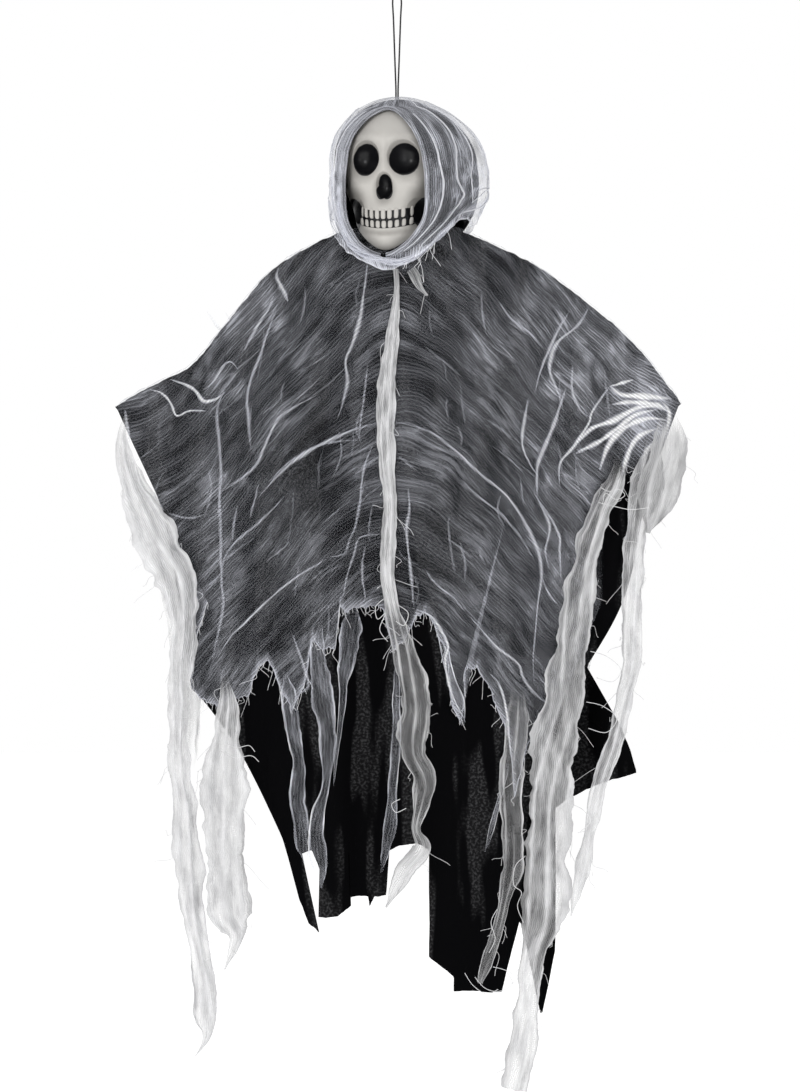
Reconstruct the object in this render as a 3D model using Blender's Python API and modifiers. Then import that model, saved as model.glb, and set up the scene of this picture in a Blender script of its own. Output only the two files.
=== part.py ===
"""Hanging ghost decoration: a hooded skull over a gauze and black cloth cape, hung from a cord loop.

Metres, +Z up. The origin is the top of the hanging loop, and the face looks towards -Y.
Outlines are lists of (x, z) in millimetres: x from the hanging line, z from the neck, where the
arm wire crosses the plug. Head shapes are in millimetres from the middle of the skull's eye line.
"""

import math

import bmesh
import bpy
import numpy as np
from mathutils import Matrix, Vector
from mathutils.bvhtree import BVHTree

MM = 0.001

# Overall sizes
CORD_DROP = 0.0985  # top of the loop to the crown of the skull, hood included
ARM_SPAN = 0.520  # wire tip to wire tip, measured level
CAPE_DROP = 0.785  # neck to the lowest tip of gauze
CHEST_DEPTH = 0.060  # half the cape's depth at the middle
TIP_DEPTH = 0.012  # half the cape's depth at the arm tips

# Gaps between pieces that touch
CLEARANCE = 0.0003
SEAT_GAP = 0.0008  # under a piece that lies on cloth
SEAM_GAP = 0.0008  # between the skull's halves, and between the robe's panels

# Skull
SKULL_WIDTH = 0.106
SKULL_FRONT = 0.064  # eye line's middle to the forehead
SKULL_BACK = 0.066
CRANIUM_HEIGHT = 0.056  # eye line to crown
FACE_HEIGHT = 0.086  # eye line to chin
SKULL_WALL = 0.0022
HEAD_OFFSET = 0.0025  # the skull's middle, to the viewer's right of the cord
HEAD_TURN = math.radians(14)  # face turned to the viewer's left
SEAM_BACK = 0.012  # the halves' seam, behind the skull's middle

# Neck, wire and cord
NECK_RADIUS = 0.014
NECK_BACK = 0.014  # neck opening, behind the skull's middle
NECK_RING_DROP = 0.058  # eye line to the neck opening
PLUG_TOP_DROP = 0.046
PLUG_LENGTH = 0.030
PLUG_CLEARANCE = 0.0020  # the wall's edge leans in a little round the opening
WIRE_DROP = 0.066  # eye line to the arm wire
WIRE_DIAMETER = 0.003
CORD_DIAMETER = 0.0016
CORD_PAIR = 0.0020  # between the two strands where they lie side by side
KNOT_RADIUS = 0.0045

# Cloth
ROBE_THICKNESS = 0.0010
GAUZE_THICKNESS = 0.0008
STRIP_THICKNESS = 0.0010
LAYER_GAP = 0.0065  # how far the gauze stands off the robe below the wire
HOOD_LIFT = 0.0026  # hood gauze outside the hood lining
HOOD_ROOM = 0.0065  # hood lining outside the skull, at the sides
FALL_LENGTH = 0.070  # how soon the cape reaches its depth below the wire
FOLD_SHARE = 0.15  # fold depth as a share of the cape's depth
NECK_OPENING = 0.044  # left open along the wire
COLLAR_ROOM = 0.0025  # between the plug and the cape's collar

# The outlines below were drawn for this span and drop, and follow them
DRAWN_SPAN = 0.520
DRAWN_DROP = 0.785
COLUMNS = 38
PANEL_ROWS = 5  # from the wire to the gauze's hem
SKIRT_ROWS = 2  # from there to the black robe's hem
CAP_ROWS = 4
ROW_BIAS = 1.5

ARM_LINE = [
    (-259, -164), (-245, -154), (-212, -137), (-185, -121), (-143, -69), (-111, -34), (-55, -3),
    (-20, 0), (6, 0), (32, 0), (54, 1), (124, -31), (179, -70), (224, -111), (252, -148), (261, -160),
]
GAUZE_HEM_FRONT = [
    (-175, -343), (-185, -375), (-190, -421), (-176, -433), (-165, -436), (-152, -430), (-139, -429),
    (-132, -414), (-127, -399), (-117, -396), (-106, -421), (-96, -568), (-86, -421), (-78, -375),
    (-66, -596), (-56, -384), (-52, -344), (-59, -507), (-32, -345), (-22, -344), (-12, -349),
    (-4, -384), (6, -375), (16, -355), (25, -349), (35, -364), (45, -387), (49, -430), (58, -454),
    (63, -402), (73, -401), (86, -421), (95, -448), (103, -469), (108, -522), (120, -471),
    (128, -459), (138, -471), (144, -450),
]
GAUZE_HEM_BACK = [
    (-170, -352), (-172, -420), (-158, -380), (-150, -372), (-140, -455), (-128, -396), (-120, -390),
    (-110, -402), (-98, -520), (-88, -410), (-80, -380), (-70, -372), (-60, -480), (-52, -396),
    (-42, -366), (-34, -360), (-24, -372), (-14, -560), (-4, -384), (6, -372), (14, -366),
    (24, -384), (34, -498), (44, -402), (52, -380), (60, -372), (68, -390), (80, -540), (90, -414),
    (98, -396), (106, -384), (114, -400), (122, -470), (130, -420), (138, -402), (146, -390),
    (156, -420), (166, -446), (176, -400),
]
ROBE_HEM_FRONT = [
    (-135, -438), (-124, -471), (-116, -491), (-109, -528), (-98, -571), (-92, -593), (-90, -613),
    (-81, -635), (-71, -643), (-81, -611), (-89, -573), (-78, -568), (-66, -596), (-65, -615),
    (-72, -629), (-54, -628), (-42, -619), (-43, -612), (-27, -610), (-25, -620), (-20, -611),
    (-10, -609), (-7, -568), (3, -563), (17, -561), (29, -568), (29, -588), (30, -633), (29, -666),
    (52, -684), (52, -698), (75, -698), (96, -698), (101, -675), (113, -631), (133, -724),
    (146, -660), (146, -568), (146, -494),
]
ROBE_HEM_BACK = [
    (-133, -436), (-124, -467), (-119, -487), (-111, -522), (-102, -559), (-97, -554), (-89, -561),
    (-78, -564), (-69, -586), (-57, -605), (-45, -607), (-38, -596), (-29, -603), (-21, -596),
    (-12, -597), (-7, -566), (-1, -561), (8, -557), (19, -559), (29, -564), (32, -596), (34, -628),
    (36, -655), (51, -674), (67, -686), (86, -683), (95, -660), (106, -619), (113, -586),
    (121, -568), (132, -554), (146, -536), (159, -527), (178, -517), (192, -510), (207, -506),
    (224, -501), (216, -476), (209, -459),
]

# Loose strips: (x, z, width) down the middle of each, and how deep its crease is
STRIPS = {
    "centre_strip": (6, [
        (-1, -36, 6), (0, -62, 6), (-6, -108, 13), (-11, -172, 16), (-10, -209, 15), (-7, -246, 13),
        (-8, -301, 14), (-4, -347, 13), (7, -399, 23), (16, -438, 24), (16, -477, 21),
        (27, -505, 18), (19, -545, 9), (24, -564, 16), (7, -585, 16), (-10, -618, 4),
    ]),
    "chin_tie": (2, [(13, -36, 8), (17, -42, 9), (22, -53, 8), (29, -61, 4)]),
    "left_outer_strip": (5, [
        (-246, -164, 10), (-255, -188, 10), (-247, -229, 20), (-218, -286, 38), (-200, -323, 38),
        (-196, -361, 28), (-199, -399, 20), (-201, -430, 18), (-201, -487, 22), (-196, -529, 25),
        (-191, -590, 27), (-187, -634, 21), (-181, -670, 20), (-177, -717, 24), (-176, -740, 8),
        (-186, -758, 2),
    ]),
    "left_inner_strip": (4, [
        (-159, -405, 14), (-157, -430, 18), (-157, -462, 30), (-159, -504, 33), (-157, -559, 32),
        (-155, -596, 36), (-154, -628, 36), (-148, -648, 12), (-157, -677, 3),
    ]),
    "right_thick_strip": (9, [
        (207, -207, 16), (198, -232, 18), (185, -257, 20), (173, -301, 27), (163, -356, 30),
        (154, -421, 34), (144, -485, 38), (140, -531, 40), (136, -573, 38), (134, -628, 34),
        (123, -669, 20), (118, -714, 22), (114, -747, 28), (107, -785, 22),
    ]),
    "right_outer_strand": (4, [
        (238, -190, 22), (229, -228, 26), (222, -260, 22), (216, -301, 19), (215, -347, 18),
        (214, -399, 20), (207, -430, 16), (199, -467, 18), (187, -505, 15), (178, -544, 14),
        (171, -582, 14), (160, -628, 4),
    ]),
    "right_wrist_flap": (5, [(251, -164, 20), (250, -198, 28), (241, -237, 32), (230, -278, 8)]),
    "hem_rag": (4, [
        (111, -415, 16), (108, -467, 19), (104, -502, 17), (105, -550, 17), (105, -586, 16),
        (98, -614, 9), (89, -649, 10), (76, -688, 12),
    ]),
}
STRIP_ROWS_PER_LENGTH = 30  # rows of mesh in a metre of strip
STRIP_LIFT = 0.0040  # a strip's start height over the gauze, before it is seated
STRIP_SWING = 0.012  # how much further forward each strip hangs at its foot

# The cord's left strand, (x, z) in mm from the loop's top, mirrored for the right one
CORD_WIDENS = [(1.3, -82), (1.9, -66), (2.6, -46), (3.3, -26), (4.0, -12), (3.6, -5.2), (2.0, -1.8)]
CORD_POINTS = 30
WIRE_INSET = 0.012  # share of the arm line left bare of wire at each tip

# Skull sections: (height, half width), (height, front) and (height, back) below the eye line,
# as shares of the skull's own width, front, back and face height
SIDE_SHARE = [(-1.0, 0.36), (-0.84, 0.50), (-0.70, 0.60), (-0.56, 0.70), (-0.41, 0.87), (-0.23, 0.95), (0, 1)]
FRONT_SHARE = [(-1.0, 0.80), (-0.84, 0.91), (-0.70, 0.94), (-0.56, 0.95), (-0.41, 0.91), (-0.23, 0.94), (0, 1)]
BACK_SHARE = [(-1.0, 0.30), (-0.70, 0.60), (-0.56, 0.76), (-0.41, 0.88), (-0.23, 0.97), (0, 1)]
JAW_SIDE, JAW_BACK = 0.62, 0.56  # lower edge at the side and the back, as shares of the face height

# Hollows and swellings of the face: (x, z, half width, half height, depth), mirrored left to right
HOLLOWS = [(17.5, -1, 12.5, 14.0, 14.0), (0, -27, 7.0, 11.0, 9.0), (29, -49, 8.0, 10.0, 6.0)]
SWELLINGS = [(19, 18, 14, 5, 2.5), (31, -27, 12, 7, 4.0), (0, -53, 24, 8, 3.0), (0, -79, 14, 8, 3.0)]

SKULL_COLUMNS = 28
SKULL_ROWS = 17
CROWN_ROWS = 0.34  # share of the rows above the eye line
JAW_ROWS = 0.90  # share of the rows down to the jaw's edge
FACE_DENSITY = 0.45  # how much closer the columns lie on the face

HOOD_SETTLE = 0.002  # how far a hood layer is lifted before it settles on the one below
HOOD_COLUMNS = 18
HOOD_ROWS = 10
HOOD_CROWN_ROWS = 0.40
HOOD_OPENING = math.radians(40)  # half the face opening
HOOD_OPENING_MIDDLE = 0.53  # share of the rows at the opening's widest place
HOOD_OPENING_REACH = 0.355  # share of the rows from there to its top or bottom
HOOD_SIDE = [(-1.2, 0.60), (-1.04, 0.86), (-0.80, 0.96), (-0.40, 1), (0, 1)]
HOOD_HEM_FRONT, HOOD_HEM_SIDE, HOOD_HEM_BACK = 0.101, 0.053, 0.092  # below the eye line
HOOD_BULGE = 0.018  # loose gauze behind the head, at the viewer's right
HOOD_BULGE_TURN = math.radians(118)

HEAD_TOP_DROP = CORD_DROP + GAUZE_THICKNESS + ROBE_THICKNESS + 4 * CLEARANCE
HEAD_MIDDLE = Vector((HEAD_OFFSET, 0, -HEAD_TOP_DROP - CRANIUM_HEIGHT))
HEAD_PLACE = Matrix.Translation(HEAD_MIDDLE) @ Matrix.Rotation(-HEAD_TURN, 4, "Z")
NECK_POINT = HEAD_PLACE @ Vector((0, NECK_BACK, -WIRE_DROP))
ROBE_RADIUS = WIRE_DIAMETER / 2 + 2 * CLEARANCE + ROBE_THICKNESS / 2
GAUZE_RADIUS = ROBE_RADIUS + ROBE_THICKNESS / 2 + 2 * CLEARANCE + GAUZE_THICKNESS / 2


def clear_scene():
    for old in list(bpy.data.objects):
        bpy.data.objects.remove(old, do_unlink=True)


def new_collection(name):
    collection = bpy.data.collections.new(name)
    bpy.context.scene.collection.children.link(collection)
    return collection


def new_material(name, colour, roughness, metallic=0.0):
    material = bpy.data.materials.new(name)
    material.use_nodes = True
    shader = material.node_tree.nodes["Principled BSDF"]
    shader.inputs["Base Color"].default_value = (*colour, 1)
    shader.inputs["Roughness"].default_value = roughness
    shader.inputs["Metallic"].default_value = metallic
    return material


def new_object(name, data, material):
    piece = bpy.data.objects.new(name, data)
    data.materials.append(material)
    ghost.objects.link(piece)
    return piece


def smooth_path(points, count):
    """Evenly spaced points on a Catmull-Rom curve through the given ones."""
    corners = np.array([points[0], *points, points[-1]], float)
    steps = np.linspace(0, 1, 16, endpoint=False)[:, None]
    runs = []
    for a, b, c, d in zip(corners, corners[1:], corners[2:], corners[3:]):
        bend = (c - a) * steps + (2 * a - 5 * b + 4 * c - d) * steps**2
        runs.append(b + 0.5 * (bend + (3 * b - a - 3 * c + d) * steps**3))
    curve = np.vstack([*runs, corners[-1:]])
    length = np.append(0, np.cumsum(np.linalg.norm(np.diff(curve, axis=0), axis=1)))
    even = np.linspace(0, length[-1], count)
    return np.column_stack([np.interp(even, length, curve[:, k]) for k in range(curve.shape[1])])


def share_at(stations, height):
    """A smooth value between (height, value) stations."""
    heights, values = np.array(stations, float).T
    slopes = np.gradient(values, heights)
    i = int(np.clip(np.searchsorted(heights, height) - 1, 0, len(heights) - 2))
    step = heights[i + 1] - heights[i]
    t = np.clip((height - heights[i]) / step, 0, 1)
    near = (1 + 2 * t) * (1 - t) ** 2 * values[i] + t * (1 - t) ** 2 * step * slopes[i]
    return near + t * t * (3 - 2 * t) * values[i + 1] - t * t * (1 - t) * step * slopes[i + 1]


def placed(x, z):
    """A drawn outline point, in metres: it follows the arm span and the cape's drop."""
    across = x * ARM_SPAN / DRAWN_SPAN * MM
    return across, NECK_POINT.z + z * CAPE_DROP / DRAWN_DROP * MM


def bent_sheet(name, shape, columns, rows, thickness, material, side=0.0, leave_out=None):
    """A grid whose corners (u, v), 0 to 1, go to shape(u, v), given a thickness."""
    sheet = bmesh.new()
    bmesh.ops.create_grid(sheet, x_segments=columns, y_segments=rows, size=0.5)
    if leave_out:
        gone = [face for face in sheet.faces if leave_out(face.calc_center_median())]
        bmesh.ops.delete(sheet, geom=gone, context="FACES")
    for vertex in sheet.verts:
        vertex.co = shape(vertex.co.x + 0.5, vertex.co.y + 0.5)
    bmesh.ops.remove_doubles(sheet, verts=sheet.verts, dist=0.02 * MM)
    bmesh.ops.recalc_face_normals(sheet, faces=sheet.faces)
    mesh = bpy.data.meshes.new(name)
    sheet.to_mesh(mesh)
    sheet.free()
    mesh.shade_smooth()
    piece = new_object(name, mesh, material)
    wall = piece.modifiers.new("thickness", "SOLIDIFY")
    wall.thickness = thickness
    wall.offset = side
    return piece


def tube(name, points, diameter, material, bevel_resolution=2):
    """A round wire or cord through the points."""
    curve = bpy.data.curves.new(name, "CURVE")
    curve.dimensions = "3D"
    curve.bevel_depth = diameter / 2
    curve.bevel_resolution = bevel_resolution
    curve.use_fill_caps = True
    line = curve.splines.new("POLY")
    line.points.add(len(points) - 1)
    for point, place in zip(line.points, points):
        point.co = (*place, 1)
    return new_object(name, curve, material)


def cutter(name, radius, length, place, turn):
    """A round cutter along Z, turned by the given matrix."""
    bpy.ops.mesh.primitive_cylinder_add(vertices=20, radius=radius, depth=length)
    tool = bpy.context.object
    tool.name = name
    tool.matrix_world = Matrix.Translation(place) @ turn
    for holder in list(tool.users_collection):
        holder.objects.unlink(tool)
    cutters.objects.link(tool)
    tool.hide_render = True
    tool.display_type = "WIRE"
    return tool


def cut(piece, tool):
    hole = piece.modifiers.new(tool.name, "BOOLEAN")
    hole.operation = "DIFFERENCE"
    hole.solver = "EXACT"
    hole.object = tool


def surface_points(mesh):
    """A mesh's corners, with the middles of its edges and faces."""
    corners = [vertex.co for vertex in mesh.vertices]
    halves = [(corners[a] + corners[b]) / 2 for a, b in (edge.vertices for edge in mesh.edges)]
    return corners + halves + [face.center for face in mesh.polygons]


def seat(piece, carriers, direction, gap, back_off):
    """Backs the piece off, then brings it along the direction until it is this gap from a carrier."""
    step = Vector(direction)
    bpy.context.view_layer.update()
    depsgraph = bpy.context.evaluated_depsgraph_get()
    solid = piece.evaluated_get(depsgraph).data
    far = -step * back_off
    corners = [vertex.co + far for vertex in solid.vertices]
    moving_tree = BVHTree.FromPolygons(corners, [list(face.vertices) for face in solid.polygons])
    reach = 4 * back_off
    hits = []
    for carrier in carriers:
        fixed_tree = BVHTree.FromObject(carrier, depsgraph)
        fixed = surface_points(carrier.evaluated_get(depsgraph).data)
        hits += [fixed_tree.ray_cast(point + far, step, reach)[3] for point in surface_points(solid)]
        hits += [moving_tree.ray_cast(point, -step, reach)[3] for point in fixed]
    travel = min(hit for hit in hits if hit is not None) - gap
    piece.data.transform(Matrix.Translation(far + step * travel))


# Arm wire and the cape that hangs over it
def drawn_arm_line():
    return np.array([placed(x, z) for x, z in smooth_path(ARM_LINE, 241)])


def arm_at(share):
    """The wire's line at a share of its length: its (x, z) and its upward normal."""
    spot = share * (len(arm_line) - 1)
    ticks = np.arange(len(arm_line))
    x, z = (np.interp(spot, ticks, arm_line[:, k]) for k in range(2))
    i = int(np.clip(round(spot), 1, len(arm_line) - 2))
    along = arm_line[i + 1] - arm_line[i - 1]
    along /= np.linalg.norm(along)
    return np.array([x, z]), np.array([-along[1], along[0]])


def collar(x, lift):
    """How much wider the cape is at the neck, where it clears the plug."""
    away = (x - NECK_POINT.x) / (0.7 * NECK_OPENING)
    return (NECK_RADIUS + COLLAR_ROOM + lift / 2) * math.exp(-(away**4))


def cape_depth(x, z, radius, lift, back):
    """Depth from the wire's plane: round the wire, out to the chest's depth, with hanging folds."""
    drop = max(np.interp(x, arm_line[:, 0], arm_line[:, 1]) - z, 0.0)
    span = x / ARM_SPAN
    body = TIP_DEPTH + (CHEST_DEPTH - TIP_DEPTH) * math.exp(-((span / 0.33) ** 2))
    grown = 1 - math.exp(-drop / (1.7 * FALL_LENGTH))
    lean = drop * math.copysign(5.0, x) * abs(span)
    wide = math.sin(37 * span + lean + (2.1 if back else 0.6))
    narrow = math.sin(66 * span - 2 * lean + (0.4 if back else 1.9))
    folds = FOLD_SHARE * body * grown * (wide + 0.5 * narrow)
    stand_off = lift * (1 - math.exp(-drop / 0.015)) + collar(x, lift) * math.exp(-drop / 0.040)
    return radius + (body - radius) * (1 - math.exp(-drop / FALL_LENGTH)) + folds + stand_off


def cape(name, hems, radius, lift, thickness, material, panel=None):
    """One sheet from the front hem over the wire to the back hem, open round the neck.

    hems holds (front, back) outlines. Both layers share their rows down to the gauze's hem, so
    they stay parallel, and the robe goes on from there to its own. A panel is the front or the
    back half alone, up to a seam on top of the wire.
    """
    panel_rows = PANEL_ROWS + (len(hems) - 1) * SKIRT_ROWS
    rows = 2 * panel_rows + CAP_ROWS
    seam_turn = SEAM_GAP / 2 / radius * {None: 0, "front": -1, "back": 1}[panel]

    def panel_place(top, column, steps, back):
        feet = [np.array(placed(*hem[back][column])) for hem in hems]
        if steps <= PANEL_ROWS:
            return top + (feet[0] - top) * (steps / PANEL_ROWS) ** ROW_BIAS
        return feet[0] + (feet[1] - feet[0]) * (steps - PANEL_ROWS) / SKIRT_ROWS

    def shape(u, v):
        column = round(u * COLUMNS)
        over = round(v * rows) - panel_rows
        top, up = arm_at(column / COLUMNS)
        if 0 <= over <= CAP_ROWS:
            angle = math.pi * over / CAP_ROWS + (seam_turn if 2 * over == CAP_ROWS else 0)
            x, z = top + up * radius * math.sin(angle)
            return Vector((x, NECK_POINT.y - (radius + collar(x, lift)) * math.cos(angle), z))
        back = over > 0
        x, z = panel_place(top, column, over - CAP_ROWS if back else -over, back)
        depth = cape_depth(x, z, radius, lift, back)
        return Vector((x, NECK_POINT.y + (depth if back else -depth), z))

    def not_cloth(middle):
        column_x = arm_at(middle.x + 0.5)[0][0]
        row = (middle.y + 0.5) * rows - panel_rows
        over_neck = abs(column_x - NECK_POINT.x) < NECK_OPENING / 2 and 0 < row < CAP_ROWS
        other_panel = panel is not None and (row < CAP_ROWS / 2) != (panel == "front")
        return over_neck or other_panel

    return bent_sheet(name, shape, COLUMNS, rows, thickness, material, leave_out=not_cloth)


def strip(name, crease, stations, material):
    """A long creased strip down its stations, lying just off the front of the gauze."""
    drawn = np.array([(*placed(x, z), width * MM) for x, z, width in stations])
    length = np.linalg.norm(np.diff(drawn[:, :2], axis=0), axis=1).sum()
    rows = max(6, round(length * STRIP_ROWS_PER_LENGTH))
    line = smooth_path(drawn, rows + 1)
    slope = np.gradient(line[:, :2], axis=0)
    across = np.column_stack([-slope[:, 1], slope[:, 0]])
    across /= np.linalg.norm(across, axis=1)[:, None]

    def shape(u, v):
        row = round(v * rows)
        side = 2 * u - 1
        x, z = line[row, :2] + across[row] * side * line[row, 2] / 2
        middle_x, middle_z = line[row, :2]
        depth = cape_depth(middle_x, middle_z, GAUZE_RADIUS, LAYER_GAP, False) + STRIP_LIFT
        depth += STRIP_SWING * v
        return Vector((x, NECK_POINT.y - depth - crease * MM * (1 - abs(side)), z))

    return bent_sheet(name, shape, 2, rows, STRIP_THICKNESS, material)


# Skull
def face_relief(x, z):
    """How far the face is pressed in, in metres, at a place of the face in millimetres."""
    depth = 0.0
    for middle, height, half_width, half_height, hollow in HOLLOWS:
        away = math.hypot((abs(x) - middle) / half_width, (z - height) / half_height)
        depth += hollow / (1 + math.exp(9 * (away - 0.95)))
    for middle, height, half_width, half_height, swelling in SWELLINGS:
        away = math.hypot((abs(x) - middle) / half_width, (z - height) / half_height)
        depth -= swelling * math.exp(-(away**2))
    return depth * MM


def skull_shape(u, v):
    """Level sections from the crown to the jaw's edge, then under it to the neck opening."""
    angle = 2 * math.pi * (u - 0.5)
    turn = angle - FACE_DENSITY * math.sin(angle)
    ahead = math.cos(turn)
    if v < CROWN_ROWS:
        rise = math.pi / 2 * v / CROWN_ROWS
        z = CRANIUM_HEIGHT * math.cos(rise)
        half, front, back = (s * math.sin(rise) for s in (SKULL_WIDTH / 2, SKULL_FRONT, SKULL_BACK))
    else:
        lowest = JAW_SIDE + (1 - JAW_SIDE if ahead > 0 else JAW_BACK - JAW_SIDE) * ahead**2
        level = min((v - CROWN_ROWS) / (JAW_ROWS - CROWN_ROWS), 1)
        share = -lowest * level
        z = share * FACE_HEIGHT
        half = share_at(SIDE_SHARE, share) * SKULL_WIDTH / 2
        front = share_at(FRONT_SHARE, share) * SKULL_FRONT
        back = share_at(BACK_SHARE, share) * SKULL_BACK
    x = half * math.sin(turn)
    y = -(front if ahead > 0 else back) * ahead
    if ahead > 0:
        y += face_relief(x / MM, z / MM) * min(1, 3 * ahead)
    if v > JAW_ROWS:
        inward = (v - JAW_ROWS) / (1 - JAW_ROWS)
        ring = (NECK_RADIUS * math.sin(turn), NECK_BACK - NECK_RADIUS * ahead, -NECK_RING_DROP)
        x, y, z = ((1 - inward) * a + inward * b for a, b in zip((x, y, z), ring))
    return Vector((x, y, z))


def skull_half(name, front, material):
    """The whole skull's surface, cut at the seam, then turned and placed."""
    piece = bent_sheet(name, skull_shape, SKULL_COLUMNS, SKULL_ROWS, SKULL_WALL, material, -1.0)
    half = bmesh.new()
    half.from_mesh(piece.data)
    seam = SEAM_BACK + (-SEAM_GAP if front else SEAM_GAP) / 2
    bmesh.ops.bisect_plane(
        half, geom=[*half.verts, *half.edges, *half.faces], dist=1e-6, plane_co=(0, seam, 0),
        plane_no=(0, 1, 0), clear_outer=front, clear_inner=not front,
    )
    bmesh.ops.transform(half, matrix=HEAD_PLACE, verts=half.verts)
    half.to_mesh(piece.data)
    half.free()
    return piece


# Hood
def hood(name, lift, bulge, thickness, material):
    """Level rings round the head, open over the face and gathered closed under the chin."""

    def shape(u, v):
        off_middle = (v - HOOD_OPENING_MIDDLE) / HOOD_OPENING_REACH
        opening = HOOD_OPENING * math.sqrt(max(0.0, 1 - off_middle**2))
        turn = opening + u * 2 * (math.pi - opening)
        ahead = math.cos(turn)
        top = CRANIUM_HEIGHT + thickness / 2 + lift
        room = HOOD_ROOM + lift
        if v < HOOD_CROWN_ROWS:
            rise = math.pi / 2 * v / HOOD_CROWN_ROWS
            z = top * math.cos(rise)
            size = math.sin(rise)
        else:
            hem = HOOD_HEM_SIDE
            hem += ((HOOD_HEM_FRONT if ahead > 0 else HOOD_HEM_BACK) - HOOD_HEM_SIDE) * ahead**2
            lowered = ((v - HOOD_CROWN_ROWS) / (1 - HOOD_CROWN_ROWS)) ** 0.85
            z = -hem * lowered
            size = share_at(HOOD_SIDE, z / FACE_HEIGHT)
            z -= lift * lowered * ahead**2
        loose = math.exp(-(((turn - HOOD_BULGE_TURN) / 0.5) ** 2))
        room += bulge * loose * math.sin(math.pi * min(1, max(0, v - 0.15) / 0.85)) ** 0.6
        x = (SKULL_WIDTH / 2 + room) * size * math.sin(turn)
        y = -((SKULL_FRONT if ahead > 0 else SKULL_BACK) + room) * size * ahead
        return HEAD_PLACE @ Vector((x, y, z))

    return bent_sheet(name, shape, HOOD_COLUMNS, HOOD_ROWS, thickness, material)


def build_head():
    bone = new_material("ivory_plastic", (0.62, 0.60, 0.56), 0.42)
    black_cloth = new_material("hood_black", (0.02, 0.02, 0.025), 0.9)
    pale_gauze = new_material("hood_gauze", (0.55, 0.56, 0.58), 0.95)
    front = skull_half("skull_front", True, bone)
    skull_half("skull_back", False, bone)
    lining = hood("hood_lining", 0.0, 0.0, ROBE_THICKNESS, black_cloth)
    gauze = hood("hood_gauze", HOOD_LIFT, HOOD_BULGE, GAUZE_THICKNESS, pale_gauze)
    seat(lining, [front], (0, 0, -1), CLEARANCE, HOOD_SETTLE)
    seat(gauze, [lining], (0, 0, -1), CLEARANCE, HOOD_SETTLE)
    return front, lining, gauze


def build_cord(front, lining, gauze):
    """The knot sits under the crown, and both strands run from it through one hole."""
    string = new_material("black_cord", (0.015, 0.015, 0.015), 0.8)
    hole = (CORD_PAIR + CORD_DIAMETER) / 2 + CLEARANCE
    crown = Vector((0, 0, HEAD_MIDDLE.z + CRANIUM_HEIGHT))
    crown_tool = cutter("crown_hole", hole, 0.030, crown, Matrix.Identity(4))
    bpy.ops.mesh.primitive_uv_sphere_add(segments=10, ring_count=6, radius=KNOT_RADIUS)
    ball = bpy.context.object
    ball.data.transform(Matrix.Translation(crown - Vector((0, 0, 0.020))) @ Matrix.Diagonal((1, 1, 0.8, 1)))
    knot = new_object("cord_knot", ball.data.copy(), string)
    knot.data.shade_smooth()
    bpy.data.objects.remove(ball)
    seat(knot, [front], (0, 0, 1), CLEARANCE, 2 * KNOT_RADIUS)
    for piece in (front, lining, gauze):
        cut(piece, crown_tool)
    knot_top = max(vertex.co.z for vertex in knot.data.vertices)
    start = knot_top + CLEARANCE + (CORD_PAIR / 2) ** 2 / KNOT_RADIUS / 2
    straight = [(CORD_PAIR / 2, start), (CORD_PAIR / 2, HEAD_MIDDLE.z + CRANIUM_HEIGHT + 0.010)]
    rise = (straight[1][1] + CORD_DIAMETER) / (CORD_WIDENS[0][1] * MM)
    opened = [(x * MM, z * MM * min(1, rise)) for x, z in CORD_WIDENS]
    left = [(-x, 0, z) for x, z in straight + opened]
    right = [(-x, y, z) for x, y, z in reversed(left)]
    route = smooth_path([*left, (0, 0, -CORD_DIAMETER / 2), *right], CORD_POINTS)
    tube("hanging_cord", route, CORD_DIAMETER, string)


def build_neck():
    steel = new_material("dark_wire", (0.35, 0.35, 0.36), 0.4, 1.0)
    foam = new_material("neck_plug", (0.30, 0.30, 0.30), 0.8)
    middle = HEAD_PLACE @ Vector((0, NECK_BACK, -PLUG_TOP_DROP - PLUG_LENGTH / 2))
    radius = NECK_RADIUS - PLUG_CLEARANCE
    bpy.ops.mesh.primitive_cylinder_add(vertices=20, radius=radius, depth=PLUG_LENGTH)
    round_plug = bpy.context.object
    round_plug.data.transform(Matrix.Translation(middle))
    plug = new_object("neck_plug", round_plug.data.copy(), foam)
    bpy.data.objects.remove(round_plug)
    edge = plug.modifiers.new("edge", "BEVEL")
    edge.width = 0.0015
    edge.segments = 1
    wire_turn = Matrix.Rotation(math.pi / 2, 4, "Y")
    wire_hole = WIRE_DIAMETER / 2 + CLEARANCE
    cut(plug, cutter("wire_hole", wire_hole, 3 * NECK_RADIUS, NECK_POINT, wire_turn))
    shares = np.clip(np.linspace(0, 1, COLUMNS + 1), WIRE_INSET, 1 - WIRE_INSET)
    line = [arm_at(share)[0] for share in shares]
    tube("arm_wire", [(x, NECK_POINT.y, z) for x, z in line], WIRE_DIAMETER, steel, 1)


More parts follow.
